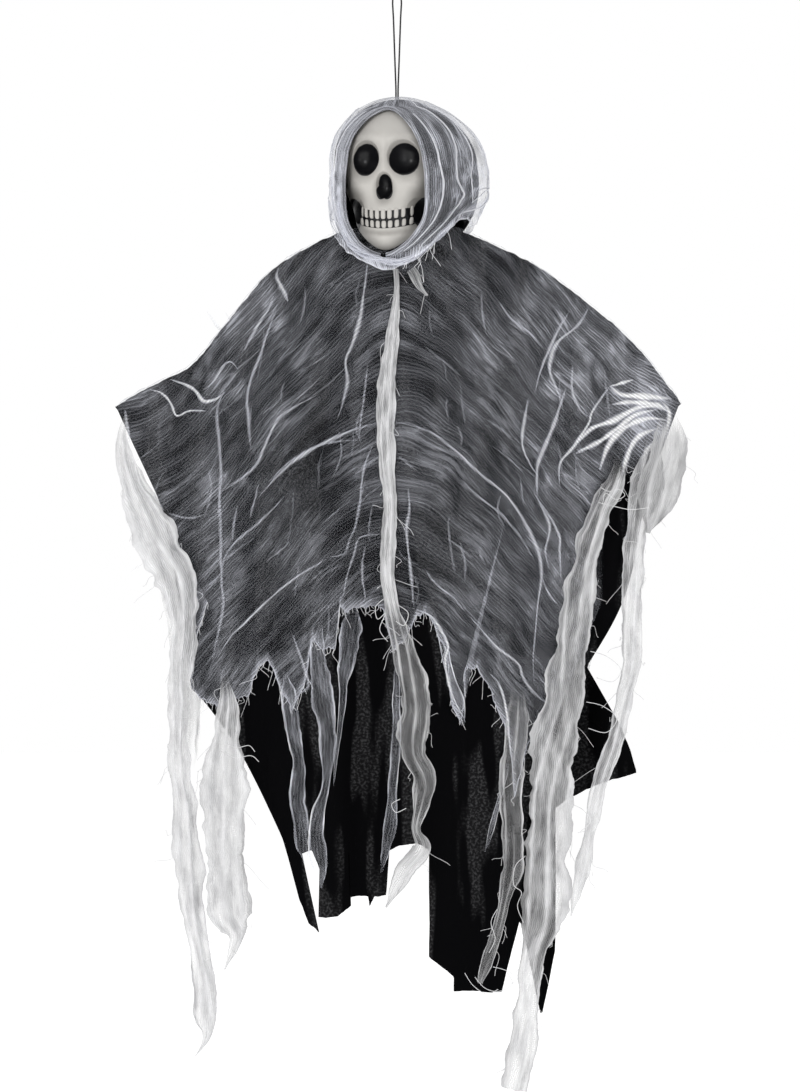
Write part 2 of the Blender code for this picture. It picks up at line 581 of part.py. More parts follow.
def build_cape():
    black_cloth = new_material("robe_black", (0.02, 0.02, 0.025), 0.9)
    grey_gauze = new_material("gauze_grey", (0.32, 0.33, 0.36), 0.95)
    white_gauze = new_material("gauze_white", (0.75, 0.76, 0.77), 0.95)
    gauze_hems = (GAUZE_HEM_FRONT, GAUZE_HEM_BACK)
    robe_hems = (ROBE_HEM_FRONT, ROBE_HEM_BACK)
    for panel in ("front", "back"):
        cape(
            f"black_robe_{panel}", [gauze_hems, robe_hems], ROBE_RADIUS, 0.0, ROBE_THICKNESS,
            black_cloth, panel,
        )
    gauze = cape("gauze_robe", [gauze_hems], GAUZE_RADIUS, LAYER_GAP, GAUZE_THICKNESS, grey_gauze)
    laid = [gauze]
    for name, (crease, stations) in STRIPS.items():
        piece = strip(name, crease, stations, white_gauze)
        seat(piece, laid, (0, 1, 0), SEAT_GAP, CHEST_DEPTH)
        laid.append(piece)


clear_scene()
ghost = new_collection("hanging_ghost")
cutters = new_collection("cutters")
arm_line = drawn_arm_line()
build_cord(*build_head())
build_neck()
build_cape()
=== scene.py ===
"""Hanging ghost decoration: the looks of every piece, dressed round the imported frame.

Metres, +Z up, the face looks towards -Y, and the origin is the top of the cord loop.
"""

import math
from collections import namedtuple

import bmesh
import bpy
import numpy as np
from mathutils import Matrix, Vector


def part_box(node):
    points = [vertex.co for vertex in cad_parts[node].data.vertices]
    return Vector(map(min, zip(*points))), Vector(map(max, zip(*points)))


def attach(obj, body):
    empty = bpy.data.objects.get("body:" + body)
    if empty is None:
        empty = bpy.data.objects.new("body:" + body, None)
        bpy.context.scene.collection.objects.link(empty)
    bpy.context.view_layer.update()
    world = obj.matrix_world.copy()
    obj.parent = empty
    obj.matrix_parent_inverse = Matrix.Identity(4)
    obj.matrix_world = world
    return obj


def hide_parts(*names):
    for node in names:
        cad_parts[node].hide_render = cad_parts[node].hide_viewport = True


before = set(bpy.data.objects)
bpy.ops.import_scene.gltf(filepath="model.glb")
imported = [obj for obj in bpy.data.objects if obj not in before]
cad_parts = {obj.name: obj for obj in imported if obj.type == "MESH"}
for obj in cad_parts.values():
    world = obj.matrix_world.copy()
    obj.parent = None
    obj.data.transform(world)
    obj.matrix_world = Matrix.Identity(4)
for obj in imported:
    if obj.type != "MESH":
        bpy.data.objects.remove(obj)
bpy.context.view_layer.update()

bl_info = {
    "name": "Hanging Ghost Decoration",
    "version": (1, 0, 0),
    "blender": (4, 5, 0),
    "location": "View3D > Sidebar > Ghost",
    "description": "Dresses the hanging ghost's frame in skull, hood, cloth, gauze, strips and cord",
    "category": "Object",
}

MM = 0.001
WELD = 0.00001

# The photograph's frame, and the part's place in it
PHOTO_WIDTH, PHOTO_HEIGHT = 800, 1092
PIXEL = 0.92 * MM
LINE_PIXEL = 397  # the hanging line's column
TOP_PIXEL = -12  # the loop's top, above the picture

# Sizes shared with the part
ARM_SPAN = 0.520
CHEST_DEPTH = 0.060
TIP_DEPTH = 0.012
FALL_LENGTH = 0.070
FOLD_SHARE = 0.15
FOLD_GROWTH = 1.7  # falls until the folds are whole
FOLD_LEAN = 5.0
WIDE_FOLDS, NARROW_FOLDS = 37, 66  # their wave numbers over the arms' span
CHEST_SHARE = 0.33  # the chest's half width as a share of the span
LIFT_FADE, COLLAR_FADE = 0.015, 0.040
NECK_OPENING = 0.044
NECK_RADIUS = 0.014
COLLAR_ROOM = 0.0025
ROBE_RADIUS = 0.0026
GAUZE_RADIUS = 0.0041
LAYER_GAP = 0.0065
STRIP_LIFT = 0.0040
STRIP_SWING = 0.012
ROW_BIAS = 1.5
SKULL_WIDTH = 0.106
SKULL_FRONT = 0.064
SKULL_BACK = 0.066
CRANIUM_HEIGHT = 0.056
FACE_HEIGHT = 0.086
HEAD_TURN = math.radians(14)
HEAD_MIDDLE = Vector((0.0025, 0, -0.1575))
NECK_BACK = 0.014
NECK_RING_DROP = 0.058
WIRE_DROP = 0.066
CORD_DIAMETER = 0.0016
CORD_PAIR = 0.0020
KNOT_RADIUS = 0.0045
HOOD_LIFT = 0.0026
HOOD_ROOM = 0.0065
HOOD_OPENING = math.radians(40)
HOOD_OPENING_MIDDLE = 0.53
HOOD_OPENING_REACH = 0.355
HOOD_CROWN_ROWS = 0.40
HOOD_HEM_FRONT, HOOD_HEM_SIDE, HOOD_HEM_BACK = 0.101, 0.053, 0.092
HOOD_BULGE = 0.018
HOOD_BULGE_TURN = math.radians(118)

HEAD_PLACE = Matrix.Translation(HEAD_MIDDLE) @ Matrix.Rotation(-HEAD_TURN, 4, "Z")
NECK_POINT = HEAD_PLACE @ Vector((0, NECK_BACK, -WIRE_DROP))

# Outlines in millimetres: x from the hanging line, z from the neck
ARM_LINE = [
    (-259, -164), (-245, -154), (-212, -137), (-185, -121), (-143, -69), (-111, -34), (-55, -3),
    (-20, 0), (6, 0), (32, 0), (54, 1), (124, -31), (179, -70), (224, -111), (252, -148), (261, -160),
]
GAUZE_HEM_FRONT = [
    (-175, -343), (-185, -375), (-190, -421), (-176, -433), (-165, -436), (-152, -430), (-139, -429),
    (-132, -414), (-127, -399), (-117, -396), (-106, -421), (-96, -440), (-86, -421), (-78, -375),
    (-66, -384), (-56, -384), (-52, -344), (-46, -350), (-32, -345), (-22, -344), (-12, -349),
    (-4, -384), (6, -375), (16, -355), (25, -349), (35, -364), (45, -387), (49, -430), (58, -454),
    (63, -402), (73, -401), (86, -421), (95, -448), (103, -469), (108, -522), (120, -471),
    (128, -459), (138, -471), (144, -450),
]
GAUZE_HEM_BACK = [
    (-170, -352), (-172, -420), (-158, -380), (-150, -372), (-140, -455), (-128, -396), (-120, -390),
    (-110, -402), (-98, -520), (-88, -410), (-80, -380), (-70, -372), (-60, -480), (-52, -396),
    (-42, -366), (-34, -360), (-24, -372), (-14, -560), (-4, -384), (6, -372), (14, -366),
    (24, -384), (34, -498), (44, -402), (52, -380), (60, -372), (68, -390), (80, -540), (90, -414),
    (98, -396), (106, -384), (114, -400), (122, -470), (130, -420), (138, -402), (146, -390),
    (156, -420), (166, -446), (176, -400),
]
ROBE_HEM_FRONT = [
    (-135, -438), (-124, -471), (-116, -491), (-109, -528), (-98, -571), (-92, -593), (-90, -613),
    (-81, -635), (-71, -643), (-81, -611), (-89, -573), (-78, -568), (-66, -596), (-65, -615),
    (-72, -629), (-54, -628), (-42, -619), (-43, -612), (-27, -610), (-25, -620), (-20, -611),
    (-10, -609), (-7, -568), (3, -563), (17, -561), (29, -568), (29, -588), (30, -633), (29, -666),
    (52, -684), (52, -698), (75, -698), (96, -698), (101, -675), (113, -631), (133, -724),
    (146, -660), (146, -568), (146, -494),
]
ROBE_HEM_BACK = [
    (-133, -436), (-124, -467), (-119, -487), (-111, -522), (-102, -559), (-97, -554), (-89, -561),
    (-78, -564), (-69, -586), (-57, -605), (-45, -607), (-38, -596), (-29, -603), (-21, -596),
    (-12, -597), (-7, -566), (-1, -561), (8, -557), (19, -559), (29, -564), (32, -596), (34, -628),
    (36, -655), (51, -674), (67, -686), (86, -683), (95, -660), (106, -619), (113, -586),
    (121, -568), (132, -554), (146, -536), (159, -527), (178, -517), (192, -510), (207, -506),
    (224, -501), (216, -476), (209, -459),
]

# Loose strips: how deep the crease is, then (x, z, width) down the middle
STRIPS = {
    "centre_strip": (6, [
        (-1, -36, 6), (0, -62, 6), (-6, -108, 13), (-11, -172, 16), (-10, -209, 15), (-7, -246, 13),
        (-8, -301, 14), (-4, -347, 13), (7, -399, 23), (16, -438, 24), (16, -477, 21),
        (27, -505, 18), (19, -545, 9), (24, -564, 16), (7, -585, 16), (-10, -618, 4),
    ]),
    "chin_tie": (2, [(13, -36, 8), (17, -42, 9), (22, -53, 8), (29, -61, 4)]),
    "left_outer_strip": (5, [
        (-246, -164, 10), (-255, -188, 10), (-247, -229, 20), (-218, -286, 38), (-200, -323, 38),
        (-196, -361, 28), (-199, -399, 20), (-201, -430, 18), (-201, -487, 22), (-196, -529, 25),
        (-191, -590, 27), (-187, -634, 21), (-181, -670, 20), (-177, -717, 24), (-176, -740, 8),
        (-186, -758, 2),
    ]),
    "left_inner_strip": (4, [
        (-159, -405, 14), (-157, -430, 18), (-157, -462, 30), (-159, -504, 33), (-157, -559, 32),
        (-155, -596, 36), (-154, -628, 36), (-148, -648, 12), (-157, -677, 3),
    ]),
    "right_thick_strip": (9, [
        (207, -207, 16), (198, -232, 18), (185, -257, 20), (173, -301, 27), (163, -356, 30),
        (154, -421, 34), (144, -485, 38), (140, -531, 40), (136, -573, 38), (134, -628, 34),
        (123, -669, 20), (118, -714, 22), (114, -747, 28), (107, -785, 22),
    ]),
    "right_outer_strand": (4, [
        (238, -190, 22), (229, -228, 26), (222, -260, 22), (216, -301, 19), (215, -347, 18),
        (214, -399, 20), (207, -430, 16), (199, -467, 18), (187, -505, 15), (178, -544, 14),
        (171, -582, 14), (160, -628, 4),
    ]),
    "right_wrist_flap": (5, [(251, -164, 20), (250, -198, 28), (241, -237, 32), (230, -278, 8)]),
    "hem_rag": (4, [
        (111, -415, 16), (108, -467, 19), (104, -502, 17), (105, -550, 17), (105, -586, 16),
        (98, -614, 9), (89, -649, 10), (76, -688, 12),
    ]),
}

# The cord's left strand, (x, z) in mm from the loop's top, mirrored for the right one
CORD_WIDENS = [(1.3, -82), (1.9, -66), (2.6, -46), (3.3, -26), (4.0, -12), (3.6, -5.2), (2.0, -1.8)]
CORD_POINTS = 30

# Skull sections: (height, half width), (height, front) and (height, back) below the eye line,
# as shares of the skull's own width, front, back and face height
SIDE_SHARE = [
    (-1.0, 0.58), (-0.84, 0.68), (-0.70, 0.72), (-0.56, 0.77), (-0.41, 0.87), (-0.23, 0.95), (0, 1),
]
FRONT_SHARE = [
    (-1.0, 0.80), (-0.84, 0.91), (-0.70, 0.94), (-0.56, 0.95), (-0.41, 0.91), (-0.23, 0.94), (0, 1),
]
BACK_SHARE = [(-1.0, 0.30), (-0.70, 0.60), (-0.56, 0.76), (-0.41, 0.88), (-0.23, 0.97), (0, 1)]
JAW_SIDE, JAW_BACK = 0.62, 0.56
CROWN_ROWS, JAW_ROWS = 0.34, 0.90
SKULL_REACH = math.pi * 0.56  # how far round each side the moulded front goes

# The face's hollows and swellings in millimetres: (x, z, half width, half height, depth), mirrored
HOLLOWS = [(17.5, -1, 12.5, 14.0, 14.0), (0, -27, 7.0, 11.0, 9.0), (29, -49, 8.0, 10.0, 6.0)]
SWELLINGS = [(19, 18, 14, 5, 2.5), (31, -27, 12, 7, 4.0), (0, -53, 24, 8, 3.0), (0, -79, 14, 8, 3.0)]
FINE_DIPS = [
    (0, -57, 26, 7, 1.6), (0, -70.5, 20, 2.6, 1.4), (25, -22, 8, 3, 0.8), (0, 8, 4, 9, 1.2),
    (24, 10, 12, 3.5, -1.4),
]
BOWL = 1.15  # the hollows are deeper bowls than the part's

# The mouth and its teeth in millimetres of the face
MOUTH_LINE, MOUTH_RISE, MOUTH_HALF, MOUTH_OPEN = -58.5, 5.0, 26.5, 8.2
TEETH_ROWS = [(9, 4.9, 4.6), (9, -4.2, 3.4)]  # how many, how far above the mouth's line, half height
TOOTH_HALF = 2.25
TOOTH_DEPTH = 0.0014
CHIN_GROOVE, CHIN_GROOVE_HALF = -70.5, 2.4

# Where the face is airbrushed black, then where shade is painted on it: (x, z, half width, half height),
# mirrored
PAINTED = [(18.0, -3.2, 13.2, 14.8), (0, -26, 6.2, 9.4), (2.8, -32.5, 5.0, 7.4), (36, -52.5, 12.5, 15.5)]
SHADED = [(18.0, -3, 16.0, 17.6), (0, -30, 9.5, 13.5), (34, -46, 14, 20)]

# The hood: (height, share of its half width), then what differs from the part's
HOOD_SIDE = [(-1.2, 0.60), (-1.04, 0.86), (-0.80, 0.96), (-0.40, 1), (0, 1)]
HOOD_JAW_REACH = 0.395  # the opening reaches lower at the jaw
HOOD_LINING_BULGE = HOOD_BULGE * 0.78
HOOD_CREASE = 0.0032  # how far its creases stand out
HOOD_COVER = 0.31  # the share of its gauze that is thread
HOOD_PITCH_SHARE = 0.8  # its threads lie closer than the cape's

# The hood's light creases, (u, v) round and down it, with each one's half thickness in millimetres
HOOD_CREASES = [
    ([(0.035, 0.22), (0.045, 0.45), (0.05, 0.65), (0.03, 0.92)], 0.9),
    ([(0.965, 0.20), (0.955, 0.42), (0.95, 0.62), (0.965, 0.90)], 0.9),
    ([(0.915, 0.30), (0.91, 0.55), (0.93, 0.80), (0.98, 0.97)], 0.7),
    ([(0.10, 0.10), (0.12, 0.30), (0.10, 0.50), (0.13, 0.74), (0.09, 0.98)], 0.9),
    ([(0.16, 0.14), (0.19, 0.36), (0.16, 0.58), (0.19, 0.82)], 0.7),
    ([(0.26, 0.10), (0.25, 0.34), (0.28, 0.56), (0.24, 0.80), (0.20, 1.0)], 0.9),
    ([(0.19, 0.82), (0.24, 0.62), (0.33, 0.55)], 0.6),
    ([(0.36, 0.16), (0.35, 0.42), (0.38, 0.66), (0.36, 0.96)], 0.8),
    ([(0.52, 0.14), (0.50, 0.40), (0.53, 0.70), (0.50, 0.98)], 0.8),
    ([(0.66, 0.18), (0.68, 0.46), (0.65, 0.72), (0.68, 0.98)], 0.8),
    ([(0.80, 0.16), (0.79, 0.44), (0.82, 0.70), (0.79, 0.98)], 0.8),
]
CHIN_LINE = [
    (339, 205), (342, 226), (350, 245), (364, 257), (384, 264), (404, 264), (424, 253), (440, 237),
    (453, 221),
]  # in pixels, along the hood's rolled lower edge
CHIN_STRANDS = 4

# The black cloth and the gauze, where they differ from the part's
ROBE_SPREAD = 0.020  # the black edge stands out beside the thick strip
ROBE_SPREAD_LEVEL = -0.565
ROBE_CREASE = 0.0022  # how far its creases stand out
BLACK_PITCH = 0.0009  # between the black cloth's threads
GAUZE_GAP = 0.0039  # how far the gauze stands off the black cloth
GAUZE_TINT = (0.95, 0.97, 1.05)  # open gauze over black looks a little blue
FOLD_COVER = 0.85  # the share of thread where the gauze is doubled
WIDE_WRINKLE, FINE_WRINKLE, HANGING_WRINKLE = 0.0018, 0.0007, 0.0020
CREASE_WIDENS, CREASE_LIGHTENS, CREASE_LIGHTEST = 1.2, 1.6, 1.25  # for all the drawn creases
SMALL_CREASES = 70
TAIL_STAND_OFF = 0.0062
TAIL_BODY = 1.1

# The gauze's light and dark places: (pixel x, pixel y, half width, half height, more or less)
TONES = [
    (290, 460, 110, 110, -0.22), (322, 415, 16, 70, -0.4), (430, 360, 26, 65, -0.35),
    (290, 480, 40, 45, -0.45), (420, 560, 26, 42, -0.3),
    (310, 330, 36, 30, -0.25), (275, 610, 40, 30, -0.35), (175, 460, 34, 50, -0.3), (352, 480, 18, 60, 0.4),
    (495, 600, 45, 40, 0.45), (622, 565, 16, 85, -4.0), (592, 350, 34, 34, 0.5),
    (640, 415, 30, 30, 2.4), (235, 315, 22, 40, 0.3),
    (505, 270, 50, 22, -0.3), (170, 475, 34, 45, -0.25), (350, 530, 30, 60, -0.2), (495, 480, 22, 60, -0.3),
    (255, 305, 30, 42, 0.9), (150, 402, 26, 12, 0.6), (580, 325, 46, 40, 0.6), (640, 375, 32, 26, 1.5),
    (545, 520, 26, 130, 0.8), (222, 560, 24, 110, 0.4), (650, 430, 26, 34, 2.4), (585, 590, 16, 90, 0.8),
    (545, 330, 16, 70, 0.5), (355, 330, 14, 60, 0.3),
]

# Tails of the torn hem: (pixel x, pixel y, width in pixels)
TAILS = [
    [(285, 672, 12), (290, 700, 13), (294, 735, 15), (300, 770, 14), (298, 800, 12), (303, 830, 14),
     (305, 862, 8)],
    [(322, 620, 12), (320, 660, 16), (325, 700, 22), (329, 740, 18), (326, 780, 10), (318, 815, 14),
     (319, 850, 18), (322, 885, 6)],
    [(352, 606, 24), (350, 640, 20), (345, 672, 12), (343, 700, 7), (338, 740, 4), (334, 784, 2)],
    [(433, 612, 8), (443, 640, 9), (450, 670, 10), (457, 700, 12), (462, 724, 12)],
    [(399, 655, 4), (396, 700, 8), (396, 740, 9), (393, 790, 9), (388, 830, 11), (383, 870, 8)],
    [(508, 752, 3), (506, 768, 4), (497, 800, 5), (489, 833, 4), (484, 850, 2)],
]

# The pale panel's two sides at the viewer's left wrist, in pixels
PALE_PANEL_LEFT = [(122, 448), (136, 505), (152, 560), (166, 625), (172, 700), (178, 770)]
PALE_PANEL_RIGHT = [(140, 470), (172, 528), (198, 585), (204, 640), (200, 700), (196, 770)]

# How closed each strip is: on the viewer's left, on the right, and below the hem
STRIP_BODIES = {
    "centre_strip": (1.1, 1.2, 0.24), "chin_tie": (0.6, 0.8, 0.8), "left_outer_strip": (0.90, 1.0, 0.95),
    "left_inner_strip": (0.85, 0.95, 0.90), "right_thick_strip": (0.50, 1.35, 0.80),
    "right_outer_strand": (0.75, 0.9, 0.80), "right_wrist_flap": (0.9, 1.0, 0.9),
    "hem_rag": (0.24, 0.30, 0.24),
}
# How much painted shade darkens each strip's colour towards grey
STRIP_SHADES = {
    "right_wrist_flap": 0.50, "left_inner_strip": 0.12, "right_thick_strip": 0.18, "centre_strip": 0.14,
}
CHIN_STRIPS = ("centre_strip", "chin_tie")  # these start in the gather under the chin
STRIP_COLUMNS, STRIP_STEP = 27, 0.0017
STRIP_PLEAT = 0.13  # as a share of the width
STRIP_CRUMPLE = 0.0010
BELOW_HEM = (-0.590, -0.560)  # the strips change from one body to the other between these levels
TIP_LEVELS = (-0.752, -0.776)  # the centre strip's shaded tip starts and is whole here

# Loose threads beside the strips, each a line in pixels
LOOSE_THREADS = {
    "right_thick_strip": [
        [(598, 488), (606, 492), (616, 490), (622, 496), (613, 500), (603, 494), (600, 505)],
        [(596, 503), (612, 507), (628, 510), (646, 508)],
        [(588, 650), (604, 655), (618, 668), (610, 680), (594, 676)],
        [(584, 700), (600, 704), (614, 716), (604, 730), (586, 726)],
        [(566, 800), (580, 806), (588, 818), (578, 828)],
        [(524, 852), (514, 862), (512, 880), (520, 888), (516, 902), (522, 918)],
    ],
    "centre_strip": [
        [(384, 598), (376, 606), (378, 618), (386, 612), (380, 628), (388, 640)],
        [(398, 604), (408, 612), (404, 624), (396, 620)],
        [(400, 795), (392, 800), (396, 808), (406, 804)],
    ],
    "hem_rag": [
        [(474, 972), (484, 983), (498, 986), (511, 979), (506, 968)],
        [(464, 968), (472, 980), (486, 989), (497, 984)],
        [(492, 962), (506, 966), (516, 974), (507, 980)], [(496, 905), (490, 918), (494, 934), (488, 948)],
    ],
    "left_inner_strip": [
        [(226, 742), (238, 746), (250, 744), (256, 750)], [(222, 748), (236, 756), (252, 754), (260, 760)],
    ],
}

# Pinched folds of the front gauze: (width in pixels, strength, line in pixels)
CREASES = [
    (5, 0.50, [(368, 256), (364, 293), (361, 316), (353, 344), (346, 362), (348, 383), (342, 408),
               (338, 419)]),
    (3, 0.35, [(368, 365), (365, 392), (361, 421), (359, 440)]),
    (4, 0.40, [(372, 446), (364, 469), (361, 497), (359, 518)]),
    (4, 0.45, [(376, 423), (340, 436), (301, 457), (278, 476), (259, 497)]),
    (3, 0.35, [(357, 440), (320, 446), (292, 461), (269, 482)]),
    (4, 0.45, [(317, 396), (292, 409), (276, 423), (263, 450), (255, 467), (225, 490)]),
    (5, 0.55, [(278, 266), (276, 276), (284, 291), (288, 302)]),
    (4, 0.45, [(273, 295), (269, 306), (255, 329), (244, 350)]),
    (5, 0.40, [(276, 310), (267, 333), (259, 358), (250, 383), (247, 402), (248, 411), (251, 446)]),
    (4, 0.35, [(225, 388), (217, 411), (219, 440), (221, 469), (220, 497), (218, 518)]),
    (4, 0.65, [(169, 378), (187, 385), (196, 392), (204, 401), (215, 399), (225, 392)]),
    (4, 0.65, [(148, 388), (160, 392), (169, 402), (176, 415), (190, 410), (206, 411)]),
    (3, 0.45, [(202, 390), (213, 381), (223, 365), (231, 362), (240, 371)]),
    (4, 0.45, [(123, 409), (127, 430), (129, 444)]),
    (3, 0.30, [(167, 513), (187, 518), (206, 514)]),
    (4, 0.35, [(219, 480), (221, 534), (222, 584), (224, 605), (218, 635), (213, 659)]),
    (3, 0.35, [(286, 496), (256, 525), (234, 544), (224, 560), (224, 575)]),
    (3, 0.50, [(327, 559), (295, 578), (263, 605), (245, 623), (231, 637), (216, 660)]),
    (3, 0.35, [(329, 557), (345, 553), (350, 539), (356, 525), (361, 498), (366, 480)]),
    (3, 0.40, [(383, 535), (370, 535), (359, 539), (354, 555), (347, 576), (344, 594), (341, 598)]),
    (3, 0.40, [(366, 544), (363, 560), (363, 580), (365, 596), (361, 605)]),
    (4, 0.45, [(408, 489), (409, 510), (406, 530), (408, 551), (411, 573), (413, 605)]),
    (3, 0.30, [(259, 484), (254, 503), (250, 519)]),
    (3, 0.30, [(238, 505), (234, 525), (233, 541)]),
    (4, 0.40, [(293, 634), (302, 659), (308, 676), (308, 687), (299, 693)]),
    (5, 0.50, [(589, 308), (578, 325), (558, 342), (551, 358), (550, 373), (558, 392), (563, 408)]),
    (4, 0.45, [(570, 310), (558, 331), (549, 350), (541, 369), (535, 392)]),
    (3, 0.35, [(499, 302), (512, 320), (532, 335), (545, 350)]),
    (4, 0.50, [(528, 398), (522, 434), (524, 453), (537, 475)]),
    (5, 0.50, [(566, 388), (555, 421), (543, 450), (537, 469), (537, 497)]),
    (4, 0.45, [(573, 365), (572, 388), (579, 408), (589, 417)]),
    (4, 0.75, [(610, 386), (635, 379)]),
    (4, 0.60, [(610, 386), (593, 411), (589, 423), (574, 446), (560, 463), (559, 486)]),
    (9, 0.95, [(610, 386), (622, 394), (648, 396), (673, 398)]),
    (8, 0.90, [(574, 446), (591, 429), (612, 421), (637, 408), (658, 406), (673, 413)]),
    (8, 0.90, [(576, 453), (599, 442), (616, 430), (635, 415), (658, 409)]),
    (8, 0.85, [(600, 470), (608, 446), (624, 428), (648, 418), (670, 420)]),
    (7, 0.80, [(622, 478), (628, 455), (640, 436), (660, 428)]),
    (7, 0.80, [(640, 470), (648, 450), (662, 438)]),
    (8, 0.80, [(612, 404), (634, 402), (656, 404), (672, 410)]),
    (6, 0.70, [(660, 398), (670, 410), (668, 428), (658, 446)]),
    (4, 0.45, [(396, 423), (428, 432), (457, 453), (482, 476), (506, 496), (522, 518), (534, 541),
               (540, 559), (541, 580), (538, 601), (536, 623), (533, 659), (534, 684)]),
    (3, 0.35, [(461, 480), (479, 498), (500, 514), (520, 537), (534, 560)]),
    (3, 0.35, [(425, 569), (436, 584), (454, 598), (463, 610)]),
    (4, 0.50, [(470, 616), (491, 641), (502, 651), (518, 664), (522, 676), (534, 693), (552, 707)]),
    (4, 0.70, [(420, 610), (431, 616), (441, 630), (448, 646), (445, 660), (450, 689), (465, 721)]),
    (4, 0.60, [(490, 673), (499, 685), (506, 712), (509, 744), (511, 759)]),
    (3, 0.40, [(541, 576), (550, 596), (559, 605)]),
    (4, 0.45, [(533, 491), (549, 525), (545, 551), (549, 569)]),
    (4, 0.45, [(538, 500), (558, 532), (559, 551), (561, 580)]),
]

# Stage
CAMERA_DISTANCE = 4.0
FLOOR_LEVEL = -1.035
FLOOR_GLOW = 0.43
SKY_LIGHT = 0.62
LAMPS = [
    ("key", (-1.2, -2.4, 0.5), 1.2, 26.0), ("fill", (1.7, -2.2, -0.1), 1.6, 12.0),
    ("rim", (0.6, 1.9, 0.8), 1.4, 10.0),
]

Patch = namedtuple("Patch", "points faces flat masks finish")


class GhostSettings(bpy.types.PropertyGroup):
    """The sizes and colours that a user would change."""

    bone: bpy.props.FloatVectorProperty(
        name="Skull", description="Colour of the moulded skull", subtype="COLOR",
        default=(0.50, 0.483, 0.455), min=0, max=1,
    )
    airbrush: bpy.props.FloatVectorProperty(
        name="Airbrush", description="Colour of the painted hollows", subtype="COLOR",
        default=(0.004, 0.004, 0.005), min=0, max=1,
    )
    black: bpy.props.FloatVectorProperty(
        name="Black cloth", description="Colour of the black cloth", subtype="COLOR",
        default=(0.0026, 0.0026, 0.0030), min=0, max=1,
    )
    white: bpy.props.FloatVectorProperty(
        name="Gauze", description="Colour of the gauze's threads", subtype="COLOR",
        default=(0.80, 0.80, 0.81), min=0, max=1,
    )
    thread_pitch: bpy.props.FloatProperty(
        name="Thread pitch", description="Distance between the gauze's threads",
        default=0.0030, min=0.0005, max=0.02, unit="LENGTH", precision=4,
    )
    cover: bpy.props.FloatProperty(
        name="Cover", description="Share of the gauze that is thread where it lies open",
        default=0.107, min=0, max=1, subtype="FACTOR",
    )


def smooth_path(points, count):
    """Evenly spaced points on a Catmull-Rom curve through the given ones."""
    corners = np.array([points[0], *points, points[-1]], float)
    steps = np.linspace(0, 1, 16, endpoint=False)[:, None]
    runs = []
    for a, b, c, d in zip(corners, corners[1:], corners[2:], corners[3:]):
        bend = (c - a) * steps + (2 * a - 5 * b + 4 * c - d) * steps**2
        runs.append(b + 0.5 * (bend + (3 * b - a - 3 * c + d) * steps**3))
    curve = np.vstack([*runs, corners[-1:]])
    length = np.append(0, np.cumsum(np.linalg.norm(np.diff(curve, axis=0), axis=1)))
    even = np.linspace(0, length[-1], count)
    return np.column_stack([np.interp(even, length, curve[:, k]) for k in range(curve.shape[1])])


def share_at(stations, height):
    """A cubic Hermite curve through (height, value) stations, its slopes from the neighbours."""
    heights, values = np.array(stations, float).T
    slopes = np.gradient(values, heights)
    i = np.clip(np.searchsorted(heights, height) - 1, 0, len(heights) - 2)
    step = heights[i + 1] - heights[i]
    t = np.clip((height - heights[i]) / step, 0, 1)
    near = (1 + 2 * t) * (1 - t) ** 2 * values[i] + t * (1 - t) ** 2 * step * slopes[i]
    return near + t * t * (3 - 2 * t) * values[i + 1] - t * t * (1 - t) * step * slopes[i + 1]


def soft_noise(x, y, seed):
    """Value noise from 0 to 1: random values on a unit lattice, blended with smooth steps."""
    lattice = np.random.default_rng(seed).random((64, 64))
    i, j = np.floor(x).astype(int), np.floor(y).astype(int)
    s, t = x - i, y - j
    s, t = s * s * (3 - 2 * s), t * t * (3 - 2 * t)
    i, j = i % 64, j % 64
    k, m = (i + 1) % 64, (j + 1) % 64
    top = lattice[i, j] * (1 - s) + lattice[k, j] * s
    return top * (1 - t) + (lattice[i, m] * (1 - s) + lattice[k, m] * s) * t


def rough(x, y, seed, octaves=3):
    """Value noise at doubling frequencies and halving heights, from -1 to 1."""
    total = sum(0.5**n * (soft_noise(x * 2**n, y * 2**n, seed + n) * 2 - 1) for n in range(octaves))
    return total / (2 - 0.5 ** (octaves - 1))


def smooth_step(low, high, value):
    """0 below low and 1 above high, with a level start and end between them."""
    t = np.clip((value - low) / (high - low), 0, 1)
    return t * t * (3 - 2 * t)


def along_line(line, share):
    """Points (x, z) at shares of a line's stations, straight between them."""
    spot = np.asarray(share) * (len(line) - 1)
    ticks = np.arange(len(line))
    return np.stack([np.interp(spot, ticks, line[:, k]) for k in range(2)], axis=-1)


def across_line(line):
    """Unit vectors at right angles to a line of (x, z) points."""
    slope = np.gradient(line, axis=0)
    across = np.stack([-slope[:, 1], slope[:, 0]], axis=-1)
    return across / np.linalg.norm(across, axis=1)[:, None]


def at_photo(pixels):
    """Photograph pixels as (x, z) on the hanging plane."""
    pixels = np.array(pixels, float)
    return np.column_stack([pixels[:, 0] - LINE_PIXEL, TOP_PIXEL - pixels[:, 1]]) * PIXEL


def grid_patch(points, flat=None, masks=None, wrap=False, keep=None, flip=False, finish=0):
    """A grid of points (rows, columns, 3) as quads, with its flat map and named masks."""
    rows, columns = points.shape[:2]
    index = np.arange(rows * columns).reshape(rows, columns)
    left = index if wrap else index[:, :-1]
    right = np.roll(index, -1, axis=1) if wrap else index[:, 1:]
    corners = [left[:-1], left[1:], right[1:], right[:-1]]
    faces = np.stack(corners[::-1] if flip else corners, axis=-1)
    faces = faces[keep] if keep is not None else faces.reshape(-1, 4)
    flat = np.zeros((rows, columns, 2)) if flat is None else flat
    masks = {name: values.ravel() for name, values in (masks or {}).items()}
    return Patch(points.reshape(-1, 3), faces, flat.reshape(-1, 2), masks, finish)


